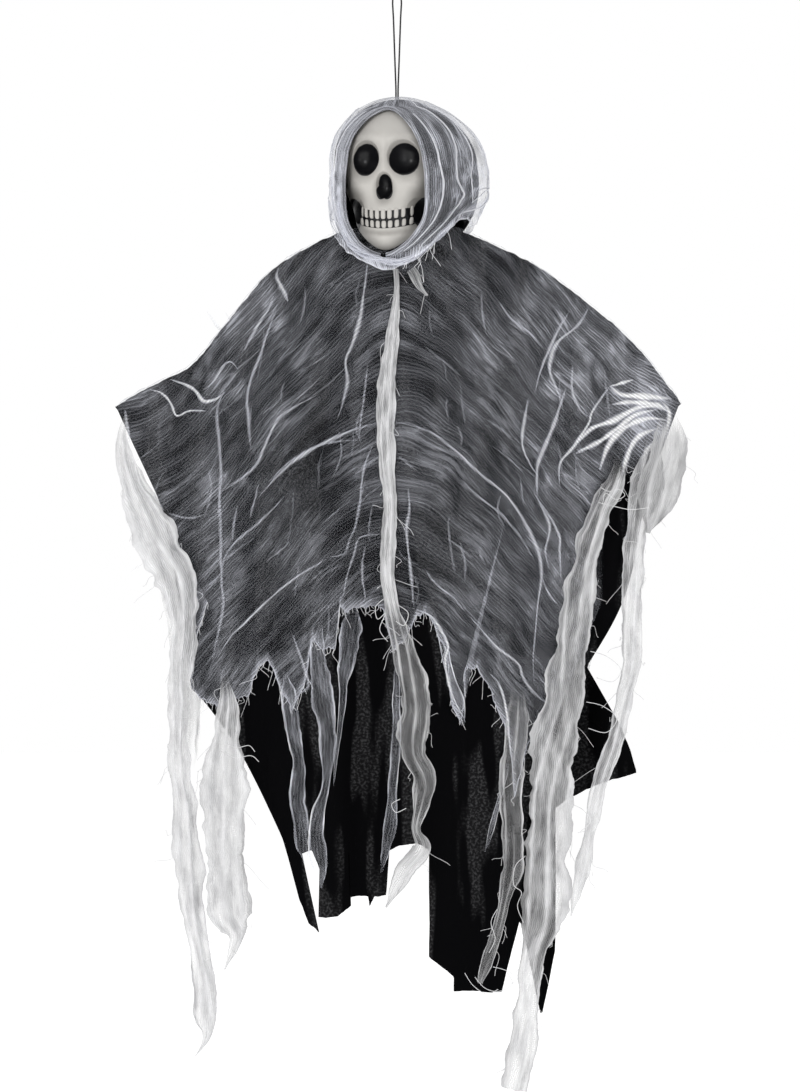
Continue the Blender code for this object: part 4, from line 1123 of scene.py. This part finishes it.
def make_gauze(settings):
    """The pale gauze over the robe, front and back, with its pinched folds, tails and loose threads."""
    gauze = gauze_material("open gauze", settings, settings.cover)
    for back, hem, name in ((False, GAUZE_HEM_FRONT, "gauze_front"), (True, GAUZE_HEM_BACK, "gauze_back")):
        def depth(x, z, back=back):
            """The gauze's depth on this side of the cape."""
            return gauze_depth(x, z, back)

        columns, rows, torn = (230, 150, 0.012) if back else (290, 184, 0.004)
        points, keep = cape_panel(
            [hem], back, columns, rows, depth,
            radius=GAUZE_RADIUS, lift=GAUZE_GAP, ragged=torn, seed=51,
        )
        x, z = points[..., 0], points[..., 2]
        edge = np.zeros(x.shape)
        edge[-4:] = np.array([0.15, 0.35, 0.6, 0.8])[:, None]
        edge *= 0.55 + 0.45 * rough(x * 60, z * 20, 61, 2)
        amount = 1 + 0.45 * rough(x * 14, z * 9, 63, 3) + (0 if back else patches_of(x, z, TONES))
        masks = {"fold": edge, "amount": np.clip(amount, 0.0, 6.0)}
        patches = [grid_patch(points, flow_map(x, z), masks, keep=keep, flip=back)]
        foot = points[-1]
        ends = foot[:: 4 if back else 2]
        ways = np.tile([0.0, 0.0, -1.0], (len(ends), 1))
        patches += thread_patches(ends, ways, 91 + back, (0.002, 0.008))
        count = len(foot)
        edge_size = 0.00045 * (1 + 0.6 * rough(np.arange(count) / 5, np.zeros(count), 95 + back, 3))
        rolled = 0.55 + 0.3 * rough(np.arange(count) / 7, np.zeros(count), 97, 2)
        rolled_masks = {"fold": rolled, "amount": np.ones(count)}
        patches.append(tube_patch(foot, edge_size, sides=6, flat_width=0.002, masks=rolled_masks))
        drawn = [
            (CREASE_WIDENS * width, min(CREASE_LIGHTEST, CREASE_LIGHTENS * strength), line)
            for width, strength, line in CREASES
        ]
        if back:
            drawn = [
                (width, 0.7 * strength, [(2 * LINE_PIXEL - x, y) for x, y in line])
                for width, strength, line in drawn
            ]
        drawn += small_creases(SMALL_CREASES, 31 + back)
        patches += [crease_patch(line, width, strength, back) for width, strength, line in drawn]
        if not back:
            patches += [tail_patch(line, 600 + k) for k, line in enumerate(TAILS)]
        piece = new_piece(name, patches, [gauze], "gauze_robe" if not back else ())


def strip_patch(name, seed):
    """A torn strip where its node hangs: pleated lengthwise, crumpled, ragged along both edges."""
    crease, stations = STRIPS[name]
    left_body, right_body, lower_body = STRIP_BODIES[name]
    drawn = np.array(stations, float) * MM + (0, NECK_POINT.z, 0)
    length = np.linalg.norm(np.diff(drawn[:, :2], axis=0), axis=1).sum()
    rows = max(24, round(length / STRIP_STEP))
    line = smooth_path(drawn, rows)
    side, far = np.meshgrid(np.linspace(-1, 1, STRIP_COLUMNS), np.linspace(0, length, rows))
    down = far[:, 0]
    starts = smooth_step(0, 0.035, down) if name not in CHIN_STRIPS else np.ones(rows)
    line[:, 2] *= (1 + 0.30 * rough(down * 19, down * 0, seed + 11, 3)) * (0.45 + 0.55 * starts)
    if name != "right_thick_strip":
        line[:, 2] *= 0.4 + 0.6 * smooth_step(0, 0.02, length - down)
    line[:, 0] += 0.0022 * rough(down * 14, down * 0, seed + 13, 2) * starts
    width = line[:, None, 2]
    across = across_line(line[:, :2])
    torn = rough(far * 48, np.sign(side) * 3 + 5, seed, 4) * np.abs(side) ** 2
    reach = side * (1 + 0.34 * torn)
    xz = line[:, None, :2] + across[:, None] * (reach * width / 2)[..., None]
    share = np.linspace(0, 1, rows)
    hung = cape_depth(line[:, 0], line[:, 1], GAUZE_RADIUS, LAYER_GAP, False)
    hung = hung + STRIP_LIFT + STRIP_SWING * share
    pleat = np.sin(side * 8 + 3.5 * rough(far * 9, side * 0, seed + 40, 2))
    crumple = STRIP_CRUMPLE * rough(far * 70, side * 3, seed + 50, 3)
    crumple = crumple + STRIP_CRUMPLE * rough(far * 230, side * 1.2, seed + 55, 2)
    y = NECK_POINT.y - hung[:, None] - crease * MM * (1 - np.abs(side))
    y = y - STRIP_PLEAT * width * pleat - crumple
    low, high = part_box(name)
    y += (low.y + high.y) / 2 - (y.min() + y.max()) / 2
    edges = smooth_step(0.80, 0.98, np.abs(side)) * (0.6 + 0.4 * rough(far * 50, side * 2, seed + 60, 2))
    broken = np.clip(0.5 + 1.3 * rough(far * 24, side * 1.5, seed + 65, 2), 0, 1.6)
    crests = 0.38 * np.clip(pleat, 0, 1) ** 3 * broken
    upper = smooth_step(*BELOW_HEM, xz[..., 1])
    body = np.where(side > 0, right_body, left_body)
    body = body * upper + lower_body * (1 - upper)
    uneven = 0.22 + 0.38 * (1 - upper)
    body = body * (1 + uneven * rough(far * 26, side * 2, seed + 70, 3)) * starts[:, None]
    points = np.stack([xz[..., 0], y, xz[..., 1]], axis=-1)
    flat = np.stack([side * width / 2, far], axis=-1)
    # painted shade: some strips darker all over, more in their pleats' troughs, and the centre strip at its
    # tip
    shade = STRIP_SHADES.get(name, 0) * (1 + 1.2 * rough(far * 25, side * 2.5, seed + 80, 2))
    shade = shade + 0.18 * np.clip(-pleat, 0, 1)
    if name == "centre_strip":
        tip = smooth_step(*TIP_LEVELS, xz[..., 1])
        body = body + 0.5 * tip
        shade = shade + 0.42 * tip
    fold = np.maximum(edges, crests) * starts[:, None]
    masks = {"fold": fold, "amount": body, "shade": np.clip(shade, 0, 1)}
    return grid_patch(points, flat, masks, flip=True), points


def panel_between(left, right, depth, seed, body):
    """A pale panel of gauze between two drawn lines, (pixel x, pixel y) from the top down."""
    rows, columns = 90, 24
    first, last = (smooth_path(at_photo(line), rows) for line in (left, right))
    side, down = np.meshgrid(np.linspace(0, 1, columns), np.linspace(0, 1, rows))
    xz = first[:, None] + (last - first)[:, None] * side[..., None]
    xz[..., 0] += 0.0015 * rough(down * 22, side * 0, seed, 3)
    waves = 0.0035 * np.sin(side * 7 + 3 * rough(down * 5, side, seed + 5, 2))
    y = depth - waves + 0.0008 * rough(down * 40, side * 9, seed + 9, 3)
    fold = 0.5 * np.clip(np.sin(side * 7 + 3 * rough(down * 5, side, seed + 5, 2)), 0, 1) ** 6
    points = np.stack([xz[..., 0], y, xz[..., 1]], axis=-1)
    flat = np.stack([side * 0.04, down * 0.2], axis=-1)
    whole = 1 - smooth_step(0.80 + 0.15 * rough(side * 9, side * 0, seed + 12, 2), 1.0, down)
    return grid_patch(points, flat, {"fold": fold * whole, "amount": body * whole})


def make_strips(settings):
    """The torn loose strips of gauze, with loose threads along their edges."""
    cloth = strip_material("bunched gauze", settings)
    for seed, name in enumerate(STRIPS, 200):
        patch, points = strip_patch(name, seed)
        random = np.random.default_rng(seed)
        rows, columns = points.shape[:2]
        count = round(rows * 0.09)
        spots = random.integers(1, rows - 1, count)
        right = random.random(count) < 0.5
        starts = points[spots, np.where(right, 1, columns - 2)]
        outermost = points[spots, np.where(right, 0, columns - 1)]
        ways = outermost - points[spots, np.where(right, 2, columns - 3)]
        ways /= np.linalg.norm(ways, axis=1)[:, None]
        ways += (0, 0, -0.4)
        patches = [patch, *thread_patches(starts, ways, seed + 7)]
        for line in LOOSE_THREADS.get(name, ()):
            drawn = smooth_path(at_photo(line), 40)
            sway = 0.001 * np.sin(np.arange(40) / 4)
            y = np.full(40, points[..., 1].min() - 0.001) + sway
            path = np.column_stack([drawn[:, 0], y, drawn[:, 1]])
            masks = even_masks(40, 1.0)
            patches.append(tube_patch(path, radius=0.00030, sides=6, flat_width=0.001, masks=masks))
        if name == "left_outer_strip":
            depth = float(points[..., 1].max()) - 0.004
            pale = panel_between(PALE_PANEL_LEFT, PALE_PANEL_RIGHT, depth, 77, 0.5)
            panel = new_piece("wrist_panel", [pale], [cloth], ())
        piece = new_piece("rag_" + name, patches, [cloth], name)


# Skull
def from_middle(x, z, middle, height, half_width, half_height):
    """How far places are from the middle of a mirrored ellipse: 1 is its edge."""
    return np.hypot((np.abs(x) - middle) / half_width, (z - height) / half_height)


def sum_of_dips(x, z):
    """How far the face is pressed in, in metres, at places of the face in millimetres.

    The hollows are bowls, the swellings and the fine dips are bells, and they add up.
    """
    depth = np.zeros(np.shape(x))
    for *oval, hollow in HOLLOWS:
        depth += BOWL * hollow * np.clip(1 - (from_middle(x, z, *oval) / 1.12) ** 2, 0, 1) ** 0.8
    for *oval, swelling in SWELLINGS:
        depth -= swelling * np.exp(-(from_middle(x, z, *oval) ** 2))
    for *oval, hollow in FINE_DIPS:
        depth += hollow * np.exp(-(from_middle(x, z, *oval) ** 2))
    return depth * MM


def skull_grid(turn, v):
    """Level sections from the crown to the jaw's edge, then under it to the neck opening."""
    ahead = np.cos(turn)
    front_side = ahead > 0
    rise = np.pi / 2 * np.clip(v / CROWN_ROWS, 0, 1)
    lowest = JAW_SIDE + np.where(front_side, 1 - JAW_SIDE, JAW_BACK - JAW_SIDE) * ahead**2
    level = np.clip((v - CROWN_ROWS) / (JAW_ROWS - CROWN_ROWS), 0, 1)
    share = -lowest * level
    crown = v < CROWN_ROWS
    z = np.where(crown, CRANIUM_HEIGHT * np.cos(rise), share * FACE_HEIGHT)
    half = np.where(crown, np.sin(rise), share_at(SIDE_SHARE, share)) * SKULL_WIDTH / 2
    front = np.where(crown, np.sin(rise), share_at(FRONT_SHARE, share)) * SKULL_FRONT
    back = np.where(crown, np.sin(rise), share_at(BACK_SHARE, share)) * SKULL_BACK
    x = half * np.sin(turn)
    y = -np.where(front_side, front, back) * ahead
    y = y + np.where(front_side, sum_of_dips(x / MM, z / MM) * np.clip(3 * ahead, 0, 1), 0)
    inward = np.clip((v - JAW_ROWS) / (1 - JAW_ROWS), 0, 1)
    ring = (NECK_RADIUS * np.sin(turn), NECK_BACK - NECK_RADIUS * ahead, -NECK_RING_DROP + 0 * turn)
    return np.stack([(1 - inward) * a + inward * b for a, b in zip((x, y, z), ring)], axis=-1)


def face_front(x, z):
    """The face's y, in metres, at places in metres below the eye line."""
    share = z / FACE_HEIGHT
    half = share_at(SIDE_SHARE, share) * SKULL_WIDTH / 2
    front = share_at(FRONT_SHARE, share) * SKULL_FRONT
    return -front * np.sqrt(np.maximum(0, 1 - (x / half) ** 2)) + sum_of_dips(x / MM, z / MM)


def placed_head(points):
    """Points of the head's own frame turned and moved to their place."""
    return points @ np.array(HEAD_PLACE.to_3x3()).T + np.array(HEAD_PLACE.translation)


def near_spots(x, z, spots, soft):
    """A mask of 1 inside mirrored ellipses (x, z, half width, half height), soft at their edges."""
    held = np.zeros(np.shape(x))
    for oval in spots:
        held = np.maximum(held, 1 - smooth_step(1 - soft, 1 + soft, from_middle(x, z, *oval)))
    return held


def smile_at(x):
    """The mouth's line in millimetres: a parabola that rises towards its corners."""
    return MOUTH_LINE + MOUTH_RISE * (x / MOUTH_HALF) ** 2


def squared(value):
    """A sine or cosine drawn out towards a square, its sign kept."""
    return np.sign(value) * np.abs(value) ** 0.62


def tooth_patch(x, z, half_width, half_height, lean):
    """One tooth: a squarish rounded block on the face, standing along its curve."""
    turns = np.linspace(0, 2 * np.pi, 18, endpoint=False)
    around, down = np.meshgrid(turns, np.linspace(0, np.pi, 13))
    ring = squared(np.sin(down))
    local = np.stack([
        ring * squared(np.cos(around)), ring * squared(np.sin(around)), squared(np.cos(down))
    ], axis=-1)
    local = local * (half_width, TOOTH_DEPTH, half_height)
    step = 0.0015
    turn = math.atan2(float(face_front(x + step, z) - face_front(x - step, z)), 2 * step)
    cos, sin = math.cos(turn), math.sin(turn)
    spun = np.stack([
        x + local[..., 0] * cos - local[..., 1] * sin,
        float(face_front(x, z)) + 0.0002 + local[..., 0] * sin + local[..., 1] * cos,
        z + local[..., 2] + lean * local[..., 0],
    ], axis=-1)
    # painted shade towards each tooth's sides, where it meets the next
    stain = 0.30 * smooth_step(0.55, 1.0, np.abs(local[..., 0]) / half_width) * np.ones(ring.shape)
    return grid_patch(placed_head(spun), None, {"paint": 0 * ring, "stain": stain}, wrap=True)


def make_skull(settings):
    """The moulded front of the skull, airbrushed in its hollows and given painted shade, with its two rows
    of teeth.
    """
    bone = bone_material(settings)
    turns = np.linspace(-SKULL_REACH, SKULL_REACH, 261)
    turn, down = np.meshgrid(turns, np.linspace(0.0, 1.0, 241))
    points = skull_grid(turn - 0.3 * np.sin(turn), down)
    x, z = points[..., 0] / MM, points[..., 2] / MM
    mouth = 1 - smooth_step(0.90, 1.06, np.abs(x) / MOUTH_HALF)
    mouth = mouth * (1 - smooth_step(0.86, 1.06, np.abs(z - smile_at(x)) / MOUTH_OPEN))
    paint = np.maximum(near_spots(x, z, PAINTED, 0.16), mouth)
    # painted shade round the hollows and under the cheekbones, in the chin's groove, towards the face's
    # sides and under the jaw
    halo = 0.55 * near_spots(x, z, SHADED, 0.42)
    off_groove = (z - CHIN_GROOVE - (x / 22) ** 2 * 3) / CHIN_GROOVE_HALF
    groove = 0.42 * np.exp(-(off_groove**2)) * np.exp(-((x / 20) ** 2))
    side_shade = 0.45 * smooth_step(34, 52, np.abs(x))
    below = 0.5 * smooth_step(-80, -88, z)
    stain = np.clip(np.maximum.reduce([halo, groove, side_shade, below]), 0, 1)
    patches = [grid_patch(placed_head(points), None, {"paint": paint, "stain": stain})]
    for count, offset, half_height in TEETH_ROWS:
        for k in range(count):
            place = (k - (count - 1) / 2) / (count / 2) * MOUTH_HALF * 0.97
            middle = smile_at(place) + offset
            size = TOOTH_HALF - 0.05 * abs(k - count // 2)
            lean = 2 * MOUTH_RISE * place / MOUTH_HALF**2
            patches.append(tooth_patch(place * MM, middle * MM, size * MM, half_height * MM, lean))
    new_piece("skull_face", patches, [bone], "skull_front", weld=WELD)
    refinish("skull_back", bone)


# Hood
def hood_grid(u, v, lift, bulge, thickness):
    """Level rings round the head, open over the face and gathered closed under the chin."""
    below = v > HOOD_OPENING_MIDDLE
    off_middle = (v - HOOD_OPENING_MIDDLE) / np.where(below, HOOD_JAW_REACH, HOOD_OPENING_REACH)
    opening = HOOD_OPENING * np.sqrt(np.maximum(0.0, 1 - np.abs(off_middle) ** np.where(below, 5.0, 2.0)))
    turn = opening + u * 2 * (np.pi - opening)
    ahead = np.cos(turn)
    top = CRANIUM_HEIGHT + thickness / 2 + lift
    room = HOOD_ROOM + lift
    crown = v < HOOD_CROWN_ROWS
    rise = np.pi / 2 * np.clip(v / HOOD_CROWN_ROWS, 0, 1)
    hem = HOOD_HEM_SIDE + (np.where(ahead > 0, HOOD_HEM_FRONT, HOOD_HEM_BACK) - HOOD_HEM_SIDE) * ahead**2
    lowered = np.clip((v - HOOD_CROWN_ROWS) / (1 - HOOD_CROWN_ROWS), 0, 1) ** 0.85
    z = np.where(crown, top * np.cos(rise), -hem * lowered)
    size = np.where(crown, np.sin(rise), share_at(HOOD_SIDE, z / FACE_HEIGHT))
    z = z - np.where(crown, 0, lift * lowered * ahead**2)
    loose = np.exp(-(((turn - HOOD_BULGE_TURN) / 0.5) ** 2))
    room = room + bulge * loose * np.sin(np.pi * np.clip((v - 0.15) / 0.85, 0, 1)) ** 0.6
    x = (SKULL_WIDTH / 2 + room) * size * np.sin(turn)
    y = -(np.where(ahead > 0, SKULL_FRONT, SKULL_BACK) + room) * size * ahead
    return np.stack([x, y, z], axis=-1)


def hood_surface(u, v, lift, bulge, creased):
    """The hood's points in the frame, with outward creases that run down it and fade at the crown."""
    local = hood_grid(u, v, lift, bulge, 0.001)
    down = (1 - np.abs(rough(u * 17, v * 2.5, 81, 2))) ** 3
    down = down + 0.35 * (1 - np.abs(rough(u * 44, v * 9, 85, 2))) ** 3
    outward = local / np.maximum(np.linalg.norm(local, axis=-1, keepdims=True), 1e-6)
    inside = smooth_step(0.0, 0.06, u) * smooth_step(0.0, 0.06, 1 - u)
    lifted = creased * down * smooth_step(0.05, 0.4, v) * inside
    return placed_head(local + outward * lifted[..., None])


def make_hood(settings):
    """The hood's black lining, the gauze over it, its rolled front edge and the roll under the chin."""
    cloth = cloth_material("hood lining cloth", settings)
    gauze = gauze_material("hood gauze", settings, HOOD_COVER, HOOD_PITCH_SHARE)
    u, v = np.meshgrid(np.linspace(0, 1, 281), np.linspace(0, 1, 181))
    rim_share = np.cos(np.linspace(math.pi - 0.05, 0.05, 70))
    rim_v = HOOD_OPENING_MIDDLE + np.where(rim_share > 0, HOOD_JAW_REACH, HOOD_OPENING_REACH) * rim_share
    rim = np.vstack([
        placed_head(hood_grid(np.full(70, edge), order, HOOD_LIFT * 0.5, 0.0, 0.001))
        for edge, order in ((1.0, rim_v[::-1]), (0.0, rim_v))
    ])
    rim = rim[np.append(True, np.linalg.norm(np.diff(rim, axis=0), axis=1) > 1e-5)]
    for name, node, lift, bulge, material in (
        ("hood_black", "hood_lining", 0.0, HOOD_LINING_BULGE, cloth),
        ("hood_pale", "hood_gauze", HOOD_LIFT, HOOD_BULGE, gauze),
    ):
        points = hood_surface(u, v, lift, bulge, HOOD_CREASE if lift else 0.0)
        closed = 0.9 * smooth_step(0.84, 0.95, u) * smooth_step(0.3, 0.5, v)
        amount = 1.0 + 0.65 * rough(u * 22, v * 9, 83, 3) + closed
        edge = smooth_step(0.975, 1.0, v) * 0.7
        flat = np.stack([u * 0.36, v * 0.22], axis=-1)
        patches = [grid_patch(points, flat, {"fold": edge, "amount": amount}, flip=True)]
        count = len(rim)
        uneven = 1 + 0.35 * rough(np.arange(count) / 9, np.zeros(count), 87, 3)
        thick = (0.0020 if lift else 0.0016) * uneven
        masks = even_masks(count, 0.16, 1.2)
        patches.append(tube_patch(rim, thick, sides=12, flat_width=0.012, masks=masks))
        if lift:
            for path, radius in HOOD_CREASES:
                walk = smooth_path(path, 60)
                line = hood_surface(walk[:, 0], walk[:, 1], lift + 0.0003, bulge, HOOD_CREASE)
                thick = radius * MM * np.sin(np.linspace(0.15, math.pi - 0.15, 60)) ** 0.5
                masks = even_masks(60, 0.72)
                patches.append(tube_patch(line, thick, sides=8, flat_width=0.006, masks=masks))
            patches += chin_roll()
        piece = new_piece(name, patches, [material], node, weld=WELD)


def chin_roll():
    """The hood's lower edge rolled and gathered under the chin: four strands twisted together."""
    drawn = at_photo(CHIN_LINE)
    y = -0.0625 * np.sqrt(np.maximum(0.02, 1 - ((drawn[:, 0] + 0.004) / 0.061) ** 2)) - 0.001
    line = smooth_path(np.column_stack([drawn[:, 0], y, drawn[:, 1]]), 120)
    along = np.linspace(0, 1, 120)
    made = []
    for k in range(CHIN_STRANDS):
        phase = 2 * math.pi * (along * 2.2 + k / CHIN_STRANDS)
        phase = phase + 1.5 * rough(along * 5, along * 0, 120 + k, 2)
        offset = np.stack([
            0.0010 * np.cos(phase), 0.0013 * np.sin(phase), 0.0020 * np.cos(phase + 0.8)
        ], axis=-1)
        thick = 0.0014 * (0.65 + 0.5 * along) * (1 + 0.55 * rough(along * 14, along * 0, 130 + k, 3))
        made.append(tube_patch(
            line + offset, thick, sides=12, flat_width=0.012, masks=even_masks(120, 0.26, 1.2),
            twist=160.0, lobes=5, lobe=0.12,
        ))
    random = np.random.default_rng(140)
    spots = random.integers(60, 110, 12)
    ways = np.column_stack([random.normal(0, 0.5, 12), np.full(12, -0.3), np.full(12, -0.8)])
    return made + thread_patches(line[spots] + (0, -0.002, -0.002), ways, 141)


def make_cord():
    """The doubled string from its knot under the crown, up into the loop."""
    knot_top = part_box("cord_knot")[1].z
    start = knot_top + 0.0003 + (CORD_PAIR / 2) ** 2 / KNOT_RADIUS / 2
    crown = HEAD_MIDDLE.z + CRANIUM_HEIGHT
    straight = [(CORD_PAIR / 2, start), (CORD_PAIR / 2, crown + 0.010)]
    rise = (straight[1][1] + CORD_DIAMETER) / (CORD_WIDENS[0][1] * MM)
    opened = [(x * MM, z * MM * min(1, rise)) for x, z in CORD_WIDENS]
    left = [(-x, 0, z) for x, z in straight + opened]
    right = [(-x, y, z) for x, y, z in reversed(left)]
    route = smooth_path([*left, (0, 0, -CORD_DIAMETER / 2), *right], CORD_POINTS)
    fine = smooth_path(route, 420)
    patch = tube_patch(
        fine, CORD_DIAMETER / 2 * 0.94, sides=12, flat_width=0.005, twist=1500.0, lobes=3, lobe=0.10
    )
    piece = new_piece("hanging_string", [patch], [cord_material()], "hanging_cord")
    string = plain_material("knotted string", (0.02, 0.02, 0.02), roughness=0.8, scale=600.0)
    refinish("cord_knot", string)


def refinish(node, material):
    """Gives a piece that keeps its own mesh one material."""
    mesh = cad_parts[node].data
    mesh.materials.clear()
    mesh.materials.append(material)


def dress_hidden_pieces():
    """The neck plug and the arm wire keep their own meshes and get their finish."""
    finishes = {
        "neck_plug": plain_material(
            "grey moulded plug", (0.22, 0.22, 0.23), roughness=0.6, scale=300.0
        ),
        "arm_wire": plain_material(
            "bare steel wire", (0.45, 0.45, 0.46), roughness=0.42, scale=200.0, metallic=1.0
        ),
    }
    for node, material in finishes.items():
        refinish(node, material)


# Stage
def make_stage():
    """Pale floor, soft light and the camera at the photograph's view."""
    scene = bpy.context.scene
    scene.view_settings.view_transform = "Standard"
    data = bpy.data.cameras.new("camera")
    data.lens = data.sensor_width * CAMERA_DISTANCE / (PHOTO_HEIGHT * PIXEL)
    data.clip_end = 50
    camera = bpy.data.objects.new("camera", data)
    middle = at_photo([(PHOTO_WIDTH / 2, PHOTO_HEIGHT / 2)])[0]
    camera.location = (middle[0], -CAMERA_DISTANCE - 0.02, middle[1])
    camera.rotation_euler = (math.pi / 2, 0, 0)
    scene.collection.objects.link(camera)
    scene.camera = camera

    material, tree, shader = surface("pale floor")
    faint = noise(tree, add(tree, "TexCoord").outputs["Object"], 3.0)
    tree.links.new(blend(tree, faint, (0.93, 0.93, 0.93), (0.95, 0.95, 0.95)), shader.inputs["Base Color"])
    shader.inputs["Emission Color"].default_value = (1, 1, 1, 1)
    shader.inputs["Emission Strength"].default_value = FLOOR_GLOW
    matte(shader, roughness=0.9, gloss=0.1)
    bpy.ops.mesh.primitive_circle_add(
        vertices=128, radius=7, fill_type="NGON", location=(0, 0, FLOOR_LEVEL)
    )
    floor = bpy.context.object
    floor.name = "floor"
    floor.data.materials.append(material)

    world = bpy.data.worlds.new("studio")
    scene.world = world
    world.use_nodes = True
    sky = world.node_tree
    lit = sky.nodes["Background"]
    lit.inputs["Color"].default_value = (1, 1, 1, 1)
    lit.inputs["Strength"].default_value = SKY_LIGHT
    seen = add(sky, "Background", {"Color": (1, 1, 1, 1), "Strength": 1.0})
    either = add(sky, "MixShader", {0: add(sky, "LightPath").outputs["Is Camera Ray"]})
    sky.links.new(lit.outputs[0], either.inputs[1])
    sky.links.new(seen.outputs[0], either.inputs[2])
    sky.links.new(either.outputs[0], sky.nodes["World Output"].inputs[0])
    for name, place, size, power in LAMPS:
        lamp = bpy.data.lights.new(name, "AREA")
        lamp.shape = "DISK"
        lamp.size = size
        lamp.energy = power
        light = bpy.data.objects.new(name, lamp)
        light.location = place
        aim = Vector((0, 0, -0.5)) - Vector(place)
        light.rotation_euler = aim.to_track_quat("-Z", "Y").to_euler()
        scene.collection.objects.link(light)


# Add-on
class GHOST_OT_stage(bpy.types.Operator):
    """Makes the floor, the lights and the camera"""

    bl_idname = "ghost.stage"
    bl_label = "Stage"

    def execute(self, context):
        make_stage()
        return {"FINISHED"}


class GHOST_OT_cord(bpy.types.Operator):
    """Makes the doubled hanging string"""

    bl_idname = "ghost.cord"
    bl_label = "Cord"

    def execute(self, context):
        make_cord()
        return {"FINISHED"}


class GHOST_OT_skull(bpy.types.Operator):
    """Makes the airbrushed skull with its teeth"""

    bl_idname = "ghost.skull"
    bl_label = "Skull"

    def execute(self, context):
        make_skull(context.scene.ghost)
        return {"FINISHED"}


class GHOST_OT_hood(bpy.types.Operator):
    """Makes the hood's lining and its gauze"""

    bl_idname = "ghost.hood"
    bl_label = "Hood"

    def execute(self, context):
        make_hood(context.scene.ghost)
        return {"FINISHED"}


class GHOST_OT_robe(bpy.types.Operator):
    """Makes the black cloth's two panels"""

    bl_idname = "ghost.robe"
    bl_label = "Black robe"

    def execute(self, context):
        make_robe(context.scene.ghost)
        return {"FINISHED"}


class GHOST_OT_gauze(bpy.types.Operator):
    """Makes the gauze over the robe, front and back"""

    bl_idname = "ghost.gauze"
    bl_label = "Gauze"

    def execute(self, context):
        make_gauze(context.scene.ghost)
        return {"FINISHED"}


class GHOST_OT_strips(bpy.types.Operator):
    """Makes the torn loose strips"""

    bl_idname = "ghost.strips"
    bl_label = "Loose strips"

    def execute(self, context):
        make_strips(context.scene.ghost)
        return {"FINISHED"}


class GHOST_OT_hidden(bpy.types.Operator):
    """Finishes the neck plug and the arm wire"""

    bl_idname = "ghost.hidden"
    bl_label = "Hidden pieces"

    def execute(self, context):
        dress_hidden_pieces()
        return {"FINISHED"}


OPERATORS = (
    GHOST_OT_stage, GHOST_OT_cord, GHOST_OT_skull, GHOST_OT_hood, GHOST_OT_robe, GHOST_OT_gauze,
    GHOST_OT_strips, GHOST_OT_hidden,
)


class GHOST_PT_panel(bpy.types.Panel):
    """The ghost's settings and its operators, in the order that builds it"""

    bl_idname = "GHOST_PT_panel"
    bl_label = "Hanging Ghost"
    bl_space_type = "VIEW_3D"
    bl_region_type = "UI"
    bl_category = "Ghost"

    def draw(self, context):
        settings = context.scene.ghost
        for name in GhostSettings.__annotations__:
            self.layout.prop(settings, name)
        for made in OPERATORS:
            self.layout.operator(made.bl_idname)


CLASSES = (GhostSettings, *OPERATORS, GHOST_PT_panel)


def register():
    for made in CLASSES:
        bpy.utils.register_class(made)
    bpy.types.Scene.ghost = bpy.props.PointerProperty(type=GhostSettings)


def unregister():
    del bpy.types.Scene.ghost
    for made in reversed(CLASSES):
        bpy.utils.unregister_class(made)


def main():
    register()
    for made in OPERATORS:
        getattr(bpy.ops.ghost, made.bl_idname.split(".")[1])()
    bpy.context.view_layer.update()


if __name__ == "__main__":
    main()
